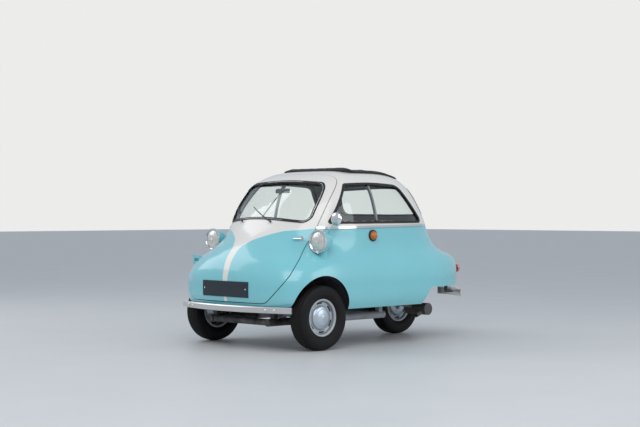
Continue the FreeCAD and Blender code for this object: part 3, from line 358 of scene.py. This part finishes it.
def rounded_outline(corners, step):
    """Points along a closed outline of (across, up, radius) corners, about step apart."""
    places = np.array([corner[:2] for corner in corners])
    ways = np.roll(places, -1, 0) - places
    ways /= np.linalg.norm(ways, axis=1)[:, None]
    path = []
    for k, (_, _, radius) in enumerate(corners):
        before, after = ways[k - 1], ways[k]
        half = math.acos(np.clip(before @ after, -1, 1)) / 2
        first = places[k] - before * radius * math.tan(half)
        side = math.copysign(1, before[0] * after[1] - before[1] * after[0])
        centre = first + side * radius * np.array([-before[1], before[0]])
        arm = first - centre
        for angle in np.linspace(0, 2 * half, max(int(2 * half * radius / step), 2)):
            cos, sin = math.cos(side * angle), math.sin(side * angle)
            path.append(centre + [arm[0] * cos - arm[1] * sin, arm[0] * sin + arm[1] * cos])
    return np.array(path)


def surface(name, rows, body, finish, closed=(False, False)):
    """A smooth mesh through a grid of points; closed says which of its ways end at their start."""
    rows = np.asarray(rows, float)
    count, width = rows.shape[:2]
    index = np.arange(count * width).reshape(count, width)
    if closed[0]:
        index = np.vstack([index, index[:1]])
    if closed[1]:
        index = np.hstack([index, index[:, :1]])
    faces = np.stack([index[:-1, :-1], index[1:, :-1], index[1:, 1:], index[:-1, 1:]], -1)
    faces = faces.reshape(-1, 4)
    mesh = bpy.data.meshes.new(name)
    mesh.vertices.add(count * width)
    mesh.vertices.foreach_set("co", rows.ravel())
    mesh.loops.add(faces.size)
    mesh.loops.foreach_set("vertex_index", faces.ravel())
    mesh.polygons.add(len(faces))
    mesh.polygons.foreach_set("loop_start", np.arange(len(faces)) * 4)
    mesh.update(calc_edges=True)
    merged = bmesh.new()
    merged.from_mesh(mesh)
    bmesh.ops.remove_doubles(merged, verts=merged.verts, dist=1e-6)
    if closed[1]:
        bmesh.ops.recalc_face_normals(merged, faces=merged.faces)
    merged.to_mesh(mesh)
    merged.free()
    mesh.shade_smooth()
    mesh.materials.append(finish)
    thing = bpy.data.objects.new(name, mesh)
    scene.collection.objects.link(thing)
    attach(thing, body)
    return thing


def hoop_rows(path, radius, sides):
    """Rings of points round a path that ends at its start."""
    path = np.asarray(path, float)
    along = np.roll(path, -1, 0) - np.roll(path, 1, 0)
    along /= np.linalg.norm(along, axis=1)[:, None]
    # The small tilt keeps the product from vanishing where the path runs straight up.
    first = np.cross(along, np.array([0.0, 0.0, 1.0]) + 1e-3)
    first /= np.linalg.norm(first, axis=1)[:, None]
    second = np.cross(along, first)
    angles = np.linspace(0, 2 * math.pi, sides, endpoint=False)
    return path[:, None] + radius * (np.cos(angles)[None, :, None] * first[:, None]
                                     + np.sin(angles)[None, :, None] * second[:, None])


def metal(name, colour, roughness, grain):
    """Bare or plated metal with fine wiping marks."""
    made, wire, feed = new_material(name, Metallic=1.0)
    place, _ = wire.coordinates()
    marks = place.noise(grain)
    feed(Base_Color=marks.mix(colour, darker(colour, 0.92)), Roughness=marks * 0.08 + roughness,
         Normal=wire.bump(marks, 0.04, 0.0002))
    return made


chrome = metal("chrome", (0.80, 0.80, 0.80, 1), 0.07, 12.0)
seal_tree = face_tree("windscreen_seal")
right_corners = [(-x, z, radius) for x, z, radius in reversed(SCREEN_CORNERS[1:-1])]
outline = rounded_outline(SCREEN_CORNERS + right_corners, TRIM_STEP)
dropped = [seal_tree.ray_cast(Vector((x, AHEAD, z)), BACKWARDS)[0] for x, z in outline]
path = [point for point in dropped if point is not None]
surface("windscreen_trim", hoop_rows(path, TRIM_RADIUS, 6), "door", chrome, (True, True))

# Bright parts. The bumpers are thick bars of satin alloy, and two domed bolts hold the front
# one at each stay. Lamp rims, belt rails, handle and wing mirror are chromed steel.
BOLT_PLACES = [(-0.421, 0.309), (-0.493, 0.309), (0.421, 0.309), (0.493, 0.309)]
BOLT_RADIUS = 0.0105
PLATE_SCREW_PLACES = [(-0.235, 0.454), (0.235, 0.454)]
PLATE_SCREW_RADIUS = 0.006
# A domed head's (radius, height) points, as shares of its radius.
DOME = [(0.0, 0.0), (1.0, 0.0), (1.0, 0.25), (0.9, 0.45), (0.62, 0.68), (0.3, 0.8), (0.0, 0.83)]


def turned_rows(profile, centre, axis, sides):
    """Rings of (radius, along) points round an axis through a centre."""
    axis = np.array(axis, float) / np.linalg.norm(axis)
    first = np.cross(axis, [0.0, 0.0, 1.0] if abs(axis[2]) < 0.9 else [0.0, 1.0, 0.0])
    first /= np.linalg.norm(first)
    second = np.cross(axis, first)
    angles = np.linspace(0, 2 * math.pi, sides, endpoint=False)
    ring = np.cos(angles)[:, None] * first + np.sin(angles)[:, None] * second
    return np.array([np.array(centre) + axis * along + ring * radius for radius, along in profile])


def studs(name, places, radius, body, finish, sides=16):
    """Domed heads as one piece, each at a place and square to a direction."""
    profile = [(across * radius, up * radius) for across, up in DOME]
    heads = [surface("stud", turned_rows(profile, place, way, sides), body, finish, (False, True))
             for place, way in places]
    whole = heads[0]
    with bpy.context.temp_override(active_object=whole, object=whole,
                                   selected_editable_objects=heads):
        bpy.ops.object.join()
    whole.name = whole.data.name = name


def on_front(name, places):
    """Where lines from ahead, each at (across, up), meet a CAD piece, and its faces' directions."""
    tree = face_tree(name)
    met = []
    for across, up in places:
        place, normal, _, _ = tree.ray_cast(Vector((across, AHEAD, up)), BACKWARDS)
        met.append((tuple(place), tuple(normal if normal.dot(BACKWARDS) < 0 else -normal)))
    return met


bumper_metal = metal("satin alloy", (0.74, 0.73, 0.72, 1), 0.27, 8.0)
wear(bumper_metal, "front_bumper", "rear_bumpers")
wear(chrome, "headlamp_rims", "belt_rails", "door_handle", "wing_mirror")
studs("bumper_bolts", on_front("front_bumper", BOLT_PLACES), BOLT_RADIUS, "body", chrome)
studs("plate_screws", on_front("number_plate", PLATE_SCREW_PLACES), PLATE_SCREW_RADIUS, "door",
      chrome)

# Wipers and the mirror on its rod. Thin steel painted satin black, with chromed spindle caps.
SPINDLE_PLACES = [(0.153, 0.957), (-0.179, 0.957)]
CAP_HEAD_RADIUS = 0.0085
black_metal = grained("black enamel", (0.016, 0.016, 0.018, 1), (0.035, 0.034, 0.034, 1),
                      cloud=(30.0, 3.0), rough=(18.0, 0.12, 0.32),
                      grain=(300.0, 3.0, 0.05, 0.0002), Coat_Weight=0.3)
wear(black_metal, "wipers", "interior_mirror")
studs("spindle_caps", on_front("wipers", SPINDLE_PLACES), CAP_HEAD_RADIUS, "door", chrome)

# Lamps. Pressed glass lenses in front, an orange turn lamp on each flank, red tail lamps with
# a thin bright rim.
FLUTE_WAVES = 420.0
MOULDED_WAVES = 900.0
RIM_SCREW_RADIUS = 0.0075
RIM_SCREW_WAY = (0, -0.2, -1)
TAIL_RADIUS = 0.034
TAIL_RIM_RADIUS = 0.0026
TAIL_RIM_DEPTH = 0.010
TAIL_RIM_STEPS = 48
lens, wire, feed = new_material("lamp glass", Coat_Weight=1.0)
place, axes = wire.coordinates()
flutes = (axes[0] * FLUTE_WAVES).maths("SINE")
feed(Base_Color=place.noise(5.0).mix((0.84, 0.81, 0.74, 1), (0.66, 0.64, 0.59, 1)),
     Metallic=place.noise(9.0) * 0.2 + 0.55, Roughness=flutes * 0.05 + 0.24,
     Normal=wire.bump(flutes, 0.35, 0.0010))
wear(lens, "headlamp_lenses")
rim_low, rim_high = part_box("headlamp_rims")
rim_back = (rim_low[1] + rim_high[1]) / 2
lamp_middle = rim_high[0] - (rim_high[2] - rim_low[2]) / 2
rim_feet = [((side * lamp_middle, rim_back, rim_low[2]), RIM_SCREW_WAY) for side in (-1, 1)]
studs("rim_screws", rim_feet, RIM_SCREW_RADIUS, "body", chrome)


def moulded_lens(name, colour):
    """Coloured clear plastic with fine rings moulded in."""
    made, wire, feed = new_material(name, Coat_Weight=0.4, Subsurface_Weight=0.15)
    _, axes = wire.coordinates()
    rings = (axes[2] * MOULDED_WAVES).maths("SINE")
    feed(Base_Color=rings.above(0.0, 1.6).mix(colour, darker(colour, 0.7)), Roughness=0.2,
         Normal=wire.bump(rings, 0.3, 0.0006))
    return made


wear(moulded_lens("amber plastic", (0.60, 0.165, 0.004, 1)), "indicator_lenses")
wear(moulded_lens("red plastic", (0.40, 0.01, 0.01, 1)), "tail_lamps")
low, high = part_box("tail_lamps")
tail_level = (low[2] + high[2]) / 2
angles = np.linspace(0, 2 * math.pi, TAIL_RIM_STEPS, endpoint=False)
for side, name in ((1, "left"), (-1, "right")):
    middle = side * (high[0] - TAIL_RADIUS)
    circle = [(middle + TAIL_RADIUS * math.cos(angle), high[1] - TAIL_RIM_DEPTH,
               tail_level + TAIL_RADIUS * math.sin(angle)) for angle in angles]
    surface("tail_lamp_rim_" + name, hoop_rows(circle, TAIL_RIM_RADIUS, 8), "body", chrome,
            (True, True))

# Number plate. A blank pressed plate, dark slate with a fine grain.
slate = grained("plate finish", (0.016, 0.024, 0.032, 1), (0.024, 0.034, 0.044, 1),
                cloud=(12.0, 3.0), rough=(80.0, 0.15, 0.3), grain=(500.0, 3.0, 0.08, 0.0003),
                Coat_Weight=0.1, Specular_IOR_Level=0.3)
wear(slate, "number_plate")

# Canvas roof. Dark waxed canvas, stretched over the roof opening on three bows, with its
# edges turned down. It stands highest on the front bow.
CANVAS_STEPS = (91, 73)
CANVAS_CORNER = 0.08
CANVAS_CLEAR = 0.002
CANVAS_THICKNESS = 0.0012
CANVAS_SAG = 0.006
HEM_WIDTH = 0.012
HEM_DROP = 0.0135
THREAD_WAVES = 2600.0
PUCKER = 0.0009
PUCKER_WAVES = (61, 23, 47)
# Each bow's place as a share of the length from the front, and its rise.
BOWS = [(0.105, 0.016), (0.42, 0.004), (0.72, 0.004)]
BOW_WIDTH = 0.048
ROOF_EDGE = 1.32
OVERHEAD = 2.0
PULLED_IN = 0.996

canvas, wire, feed = new_material("waxed canvas", Sheen_Weight=0.08, Specular_IOR_Level=0.2)
place, axes = wire.coordinates()
warp, weft = [(axis * THREAD_WAVES).maths("SINE") for axis in axes[:2]]
feed(Base_Color=place.noise(7.0).mix((0.020, 0.019, 0.018, 1), (0.034, 0.032, 0.031, 1)),
     Roughness=place.noise(30.0) * 0.15 + 0.72,
     Normal=wire.bump(warp + weft + place.noise(14.0) * 6.0, 0.35, 0.0006))
roof_tree = face_tree("canvas_roof")
low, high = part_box("canvas_roof")
length, half = high[1] - low[1], high[0]
along, across = np.meshgrid(np.linspace(0, 1, CANVAS_STEPS[0]),
                            np.linspace(-1, 1, CANVAS_STEPS[1]), indexing="ij")
from_end = np.minimum(along, 1 - along) * length
inward = np.clip(CANVAS_CORNER - from_end, 0, None)
corner_cut = CANVAS_CORNER - np.sqrt(np.clip(CANVAS_CORNER ** 2 - inward ** 2, 0, None))
half_here = half - corner_cut - CANVAS_CLEAR
rows = np.zeros((*CANVAS_STEPS, 3))
rows[..., 0] = across * half_here
rows[..., 1] = low[1] + CANVAS_CLEAR + along * (length - 2 * CANVAS_CLEAR)
lift = np.full(CANVAS_STEPS, -CANVAS_SAG)
for middle, rise in BOWS:
    lift += rise * np.exp(-((along - middle) * length / BOW_WIDTH) ** 2)
# Faint puckers: waves across that wander as they run back, and waves along.
swirl = np.sin(rows[..., 0] * PUCKER_WAVES[0] + 3 * np.sin(rows[..., 1] * PUCKER_WAVES[1]))
lift += PUCKER * swirl * np.sin(rows[..., 1] * PUCKER_WAVES[2] + 1.3)
rim = np.clip(np.minimum(from_end, (1 - abs(across)) * half_here) / HEM_WIDTH, 0, 1)
lift = lift * rim * rim * (3 - 2 * rim) - HEM_DROP * (1 - rim) ** 2
for row, raised in zip(rows.reshape(-1, 3), lift.ravel()):
    start = Vector((row[0] * PULLED_IN, row[1], OVERHEAD))
    hit = roof_tree.ray_cast(start, Vector((0, 0, -1)))[0]
    if hit is None:
        hit = roof_tree.find_nearest(Vector((row[0], row[1], ROOF_EDGE)))[0]
    row[2] = hit.z + raised
roof_sheet = surface("canvas_roof_cover", rows, "body", canvas)
cloth = roof_sheet.modifiers.new("thickness", "SOLIDIFY")
cloth.thickness = CANVAS_THICKNESS
cloth.offset = -1
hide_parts("canvas_roof")

# Running gear. Chassis tubes painted black as far back as the front wheels reach and silver
# grey behind them, black arms and hubs, a sooty silencer and a dark grey floor.
SOOT_LINE = -0.52
SOOT = (0.018, 0.018, 0.020, 1)


def chassis_paint(name, colour, dirt, front=None):
    """Brushed-on paint with dirt low down; front is its colour ahead of the soot line."""
    made, wire, feed = new_material(name, Specular_IOR_Level=0.4)
    place, axes = wire.coordinates()
    grime = place.noise(9.0, 6.0) * (1.15 - axes[2] * 1.5)
    shade = axes[1].above(SOOT_LINE, 0.06).mix(front, colour) if front else colour
    feed(Base_Color=grime.above(0.55, 0.5).mix(shade, dirt),
         Roughness=place.noise(14.0) * 0.3 + 0.35,
         Normal=wire.bump(place.noise(220.0, 4.0), 0.15, 0.0008))
    return made


black = chassis_paint("chassis black", SOOT, (0.045, 0.040, 0.036, 1))
silver = chassis_paint("frame silver", (0.46, 0.50, 0.54, 1), (0.20, 0.19, 0.18, 1), SOOT)
silencer_steel = chassis_paint("silencer steel", (0.13, 0.125, 0.12, 1), (0.09, 0.06, 0.045, 1))
floor_grey = chassis_paint("floor grey", (0.040, 0.042, 0.045, 1), (0.03, 0.028, 0.026, 1))
wear(silver, "chassis_frame")
wear(silencer_steel, "silencer")
wear(black, "front_suspension", "knuckle_left", "knuckle_right", "rear_axle", "seat_base",
     "steering_column", "pedals_and_lever")
wear(floor_grey, "floor_pan", "rear_shelf")

# Tyres. Black rubber with four zigzag grooves round the tread, cross cuts in the shoulders
# and fine rings on the side walls.
TYRE_ROWS = 113
TREAD_STEPS = 640
TREAD_LOW = 0.2375
GROOVES = (-0.036, -0.013, 0.013, 0.036)
GROOVE_HALF = 0.0024
GROOVE_TOP_HALF = 1.6 * GROOVE_HALF
GROOVE_DEEP = 0.006
ZIGZAGS = 64
ZIGZAG_SWING = 0.0034
BLOCKS = 80
SHOULDER = 0.042
CUT_HALF = 0.16
CUT_DEEP = 0.8
WALL_RINGS = (0.152, 0.226)
WALL_RING_START = 0.15
WALL_RING_PITCH = 0.0125
WALL_RING_PROUD = 0.0007
# One half of the section, as (along the axle, radius) in mm.
TYRE_PROFILE = [(-44, 131), (-44, 145), (-50, 151), (-56.7, 159), (-62, 168), (-65.5, 179),
                (-67.5, 199), (-66.6, 211), (-64.1, 221), (-61, 229), (-56.7, 235.5), (-50, 239),
                (-37.8, 242.6), (-26, 244), (-13.5, 244.8), (0, 245)]


def even_steps(profile, count):
    """Points at even steps along a profile."""
    lengths = np.linalg.norm(np.diff(profile, axis=0), axis=1)
    travelled = np.concatenate([[0], np.cumsum(lengths)])
    fine = np.linspace(0, travelled[-1], count)
    return np.column_stack([np.interp(fine, travelled, profile[:, k]) for k in (0, 1)])


def axle_rows(centre, offsets, radii, angles):
    """Points round an axle: offsets along it, and radii out from it at the angles."""
    return np.stack([centre[0] + offsets, centre[1] + radii * np.cos(angles),
                     centre[2] + radii * np.sin(angles)], -1)


tyre_rubber = grained("tyre rubber", (0.005, 0.005, 0.006, 1), (0.012, 0.011, 0.011, 1),
                      cloud=(20.0, 5.0), rough=(11.0, 0.18, 0.52),
                      grain=(420.0, 2.0, 0.12, 0.0004), Specular_IOR_Level=0.22)
half_profile = np.array(TYRE_PROFILE) / 1000
whole_profile = np.vstack([half_profile, half_profile[-2::-1] * [-1, 1]])
sides, radii = even_steps(whole_profile, TYRE_ROWS).T
angles = np.linspace(0, 2 * math.pi, TREAD_STEPS, endpoint=False)
side_grid = sides[:, None] * np.ones(TREAD_STEPS)
waves = ZIGZAG_SWING * (2 / math.pi) * np.arcsin(np.sin(angles * ZIGZAGS))[None, :]
depth = np.zeros_like(side_grid)
for groove in GROOVES:
    from_groove = abs(side_grid - groove - waves)
    depth = np.maximum(depth, np.clip((GROOVE_TOP_HALF - from_groove) / GROOVE_HALF, 0, 1))
from_cut = abs((angles * BLOCKS / (2 * math.pi)) % 1 - 0.5)
cuts = np.clip((CUT_HALF - from_cut) / (CUT_HALF / 2), 0, 1)[None, :] * (abs(side_grid) > SHOULDER)
depth = np.maximum(depth, cuts * CUT_DEEP) * (radii[:, None] > TREAD_LOW)
ring_waves = np.sin((radii - WALL_RING_START) * 2 * math.pi / WALL_RING_PITCH)
on_wall = (radii > WALL_RINGS[0]) & (radii < WALL_RINGS[1])
rings = WALL_RING_PROUD * np.maximum(0, ring_waves) * on_wall
tread_radii = radii[:, None] - GROOVE_DEEP * depth
side_grid = side_grid + (np.sign(sides) * rings)[:, None]
for name in ("front_left", "front_right", "rear"):
    low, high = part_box("tyre_" + name)
    centre = (np.array(low) + high) / 2
    rows = axle_rows(centre, side_grid, tread_radii, angles)
    tyre = surface("tread_tyre_" + name, rows, name + "_wheel", tyre_rubber, (True, True))
    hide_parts("tyre_" + name)

# Wheels. Pressed steel discs painted silver grey with a ring of long slots, a groove inside
# the rolled flange, and a domed bright cap with two raised steps that snaps over the hub.
WHEEL_ROWS = 100
WHEEL_STEPS = 216
CAP_RADIUS = 0.094
SLOTS = 6
SLOT_TURN = 3.665
SLOT_RING = 0.1095
SLOT_HALF = 0.0065
SLOT_DEEP = 0.007
SLOT_WALL = 0.0015
SLOT_START = 0.10
SLOT_RAMP = 0.12
GROOVE_RING = 0.122
GROOVE_RING_HALF = 0.0022
# Outer and inner side of the section, as (along the axle, radius) in mm.
WHEEL_FACE = [(62.4, 0), (62.2, 8), (61.4, 14), (60.0, 18.5), (59.4, 22), (59.2, 26), (58.0, 36),
              (55.9, 47), (53.0, 58), (51.2, 63), (48.4, 67), (46.6, 71), (43.6, 79), (38.5, 86),
              (31, 91), (25.5, 93), (22.3, 94.5), (22, 96), (23.2, 103), (25.2, 113),
              (25.6, 118.5), (23.4, 121), (23.4, 123), (27, 124.2), (42, 125.4), (47, 128),
              (48.8, 132), (49, 136), (48.2, 140), (46.5, 141), (44.3, 141), (44.3, 130.7)]
WHEEL_BACK = [(-44.3, 130.7), (-44.3, 141), (-49, 141), (-48, 123), (12, 121), (14, 60),
              (-34, 44), (-34, 16.06), (12, 16.06), (12, 0)]


def wheel_finish(name, centre):
    """Silver grey paint round a bright cap, with painted shade making the slots and the groove near
    black.
    """
    made, wire, feed = new_material("wheel finish " + name, Coat_Weight=0.25)
    place, axes = wire.coordinates()
    along, up = axes[1] - centre[1], axes[2] - centre[2]
    radius = (along * along + up * up).maths("SQRT")
    turn = up.maths("ARCTAN2", along) * SLOTS - SLOT_TURN
    slot = turn.maths("COSINE").above(SLOT_START + SLOT_RAMP / 2, SLOT_RAMP)
    slot = slot * (radius - SLOT_RING).size().below(SLOT_HALF, 0.002)
    groove = (radius - GROOVE_RING).size().below(GROOVE_RING_HALF, 0.0022)
    cap = radius.below(CAP_RADIUS, 0.002)
    # Painted shade: the slots and the groove inside the flange are coloured near black, as if in
    # shadow.
    painted_shade = slot.maths("MAXIMUM", groove * 0.75)
    grime = place.noise(14.0, 5.0)
    steel = grime.mix((0.47, 0.50, 0.53, 1), (0.36, 0.38, 0.40, 1))
    bright = grime.mix((0.56, 0.63, 0.70, 1), (0.48, 0.55, 0.62, 1))
    feed(Base_Color=painted_shade.mix(cap.mix(steel, bright), (0.01, 0.01, 0.012, 1)),
         Metallic=cap * 0.75 + 0.1 - slot * 0.1,
         Roughness=grime * 0.12 + 0.32 - cap * 0.04 + slot * 0.4,
         Normal=wire.bump(grime, 0.05, 0.0004))
    return made


face = even_steps(np.array(WHEEL_FACE) / 1000, WHEEL_ROWS)
profile = np.vstack([face, np.array(WHEEL_BACK) / 1000])
angles = np.linspace(0, 2 * math.pi, WHEEL_STEPS, endpoint=False)
outer_side = np.arange(len(profile)) < WHEEL_ROWS
in_ring = np.clip((SLOT_HALF - abs(profile[:, 1] - SLOT_RING)) / SLOT_WALL, 0, 1) * outer_side
in_slot = np.clip((np.cos(angles * SLOTS - SLOT_TURN) - SLOT_START) / SLOT_RAMP, 0, 1)
offsets = profile[:, :1] - SLOT_DEEP * in_ring[:, None] * in_slot
for name, hand in (("front_left", 1), ("front_right", -1), ("rear", 1)):
    low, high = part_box("tyre_" + name)
    centre = (np.array(low) + high) / 2
    rows = axle_rows(centre, hand * offsets, profile[:, 1:], angles)
    wheel = surface("pressed_wheel_" + name, rows, name + "_wheel", wheel_finish(name, centre),
                    (False, True))
    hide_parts("wheel_" + name)

# Seat. A bench: cushion and back are foam under woven cloth, sewn in upright channels of two
# colours. The cushion lies on the steel box, and the back leans behind it.
CHANNEL = 0.104
WEAVE_WAVES = 1900.0
PAD_ROWS = 261
PAD_STEPS = 96
# How roundly the channels puff, how far out they stay full, and how square the ends are.
PUFF_ROUND = 0.45
FULL_REACH = 6
END_REACH = 14
END_ROUND = 1 / 5

cloth_finish, wire, feed = new_material("seat cloth", Sheen_Weight=0.3, Specular_IOR_Level=0.2)
place, axes = wire.coordinates()
weave = [(axis * WEAVE_WAVES).maths("SINE") for axis in axes]
bands = (axes[0] * (2 * math.pi / CHANNEL)).maths("COSINE").above(0.2, 0.15)
cloud = place.noise(26.0)
russet = cloud.mix((0.22, 0.085, 0.060, 1), (0.28, 0.120, 0.085, 1))
oatmeal = cloud.mix((0.50, 0.43, 0.35, 1), (0.56, 0.49, 0.41, 1))
feed(Base_Color=bands.mix(russet, oatmeal), Roughness=place.noise(40.0) * 0.1 + 0.8,
     Normal=wire.bump(weave[0] + weave[1] + weave[2], 0.4, 0.0005))


def boxy(turn, power):
    """A circle's cosine or sine pushed towards a box's by a power below one."""
    return np.sign(turn) * abs(turn) ** power


def sewn_pad(name, node, half_height, half_depth, lean, square, crown):
    """A padded piece in a CAD solid's place: a rounded section carried across, with sewn channels.

    lean turns the section back, square is how boxy it is, and crown how far the channels puff.
    """
    low, high = [np.array(corner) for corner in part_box(node)]
    middle, half_width = (low + high) / 2, (high[0] - low[0]) / 2
    places = np.sin(np.linspace(-math.pi / 2, math.pi / 2, PAD_ROWS)) * half_width
    angles = np.linspace(0, 2 * math.pi, PAD_STEPS, endpoint=False)
    along, up = boxy(np.cos(angles), 2 / square), boxy(np.sin(angles), 2 / square)
    outwards = abs(places / half_width)
    end_scale = np.clip(1 - outwards ** END_REACH, 0, 1) ** END_ROUND
    puff = abs(np.sin(math.pi * places / CHANNEL)) ** PUFF_ROUND
    full = np.clip(1 - outwards ** FULL_REACH, 0, 1)
    out = (crown * full * (puff - 0.75))[:, None]
    depth_here = (half_depth + out * along ** 2) * along * end_scale[:, None]
    height_here = (half_height + out * up ** 2) * up * end_scale[:, None]
    rows = np.zeros((PAD_ROWS, PAD_STEPS, 3))
    rows[..., 0] = places[:, None]
    rows[..., 1] = middle[1] + depth_here * math.cos(lean) + height_here * math.sin(lean)
    rows[..., 2] = middle[2] - depth_here * math.sin(lean) + height_here * math.cos(lean)
    pad = surface(name, rows, "body", cloth_finish, (False, True))
    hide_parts(node)


sewn_pad("seat_cushion_pad", "seat_cushion", half_height=0.058, half_depth=0.212, lean=0.0,
         square=4.5, crown=0.007)
sewn_pad("seat_back_pad", "seat_back", half_height=0.206, half_depth=0.033, lean=0.115,
         square=5.0, crown=0.006)

# Engine. A cast alloy block with cooling fins all round, under a smooth cover that narrows at
# the top.
FIN_PITCH = 0.015
FIN_DEEP = 0.012
# Heights as shares of the block: between the first two are the fins, above the third it narrows.
FINS_LOW, FINS_HIGH, COVER_LOW = 0.18, 0.72, 0.86
COVER_INSET = 0.03
END_INSET = 0.06
BLOCK_ROWS = 201
BLOCK_STEPS = 120
BLOCK_ROUND = 0.3
low, high = [np.array(corner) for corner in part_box("engine")]
middle, reach = (low + high) / 2, (high - low) / 2
levels = np.linspace(low[2], high[2], BLOCK_ROWS)
angles = np.linspace(0, 2 * math.pi, BLOCK_STEPS, endpoint=False)
share = (levels - low[2]) / (high[2] - low[2])
fins = 0.5 - 0.5 * np.clip(3 * np.cos(2 * math.pi * (levels - low[2]) / FIN_PITCH), -1, 1)
inset = FIN_DEEP * fins * ((share > FINS_LOW) & (share < FINS_HIGH))
inset = inset + COVER_INSET * np.clip(share - COVER_LOW, 0, 1) / (1 - COVER_LOW)
inset[[0, -1]] = END_INSET
rows = np.zeros((BLOCK_ROWS, BLOCK_STEPS, 3))
for k, turn in enumerate((np.cos(angles), np.sin(angles))):
    rows[..., k] = middle[k] + (reach[k] - inset[:, None]) * boxy(turn, BLOCK_ROUND)
rows[..., 2] = levels[:, None]
bottom, top = [np.tile([middle[0], middle[1], level], (1, BLOCK_STEPS, 1))
               for level in (low[2], high[2])]
cast_metal = chassis_paint("engine aluminium", (0.38, 0.38, 0.38, 1), (0.10, 0.09, 0.08, 1))
block = surface("finned_engine", np.vstack([bottom, rows, top]), "body", cast_metal,
                (False, True))
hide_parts("engine")

# Steering wheel. Hard cream plastic over a steel ring, worn smooth and a little yellow, with
# a black horn button on the hub's end.
HUB_REACH = 0.03
HORN_RADIUS = 0.020
cream = grained("cream plastic", (0.66, 0.60, 0.47, 1), (0.58, 0.51, 0.38, 1),
                cloud=(16.0, 3.0), rough=(9.0, 0.12, 0.28), grain=(120.0, 3.0, 0.04, 0.0003),
                Coat_Weight=0.4)
wear(cream, "steering_wheel")
turning = next(joint for joint in frame["joints"] if joint["name"] == "steering_wheel_turn")
pivot, column = np.array(turning["pos_m"]), np.array(turning["axis"])
corners = np.array([vertex.co for vertex in nodes["steering_wheel"].data.vertices]) - pivot
from_column = np.linalg.norm(corners - np.outer(corners @ column, column), axis=1)
hub_end = pivot + column * (corners[from_column < HUB_REACH] @ column).max()
studs("horn_button", [(hub_end, column)], HORN_RADIUS, "steering_wheel", black_metal, 32)
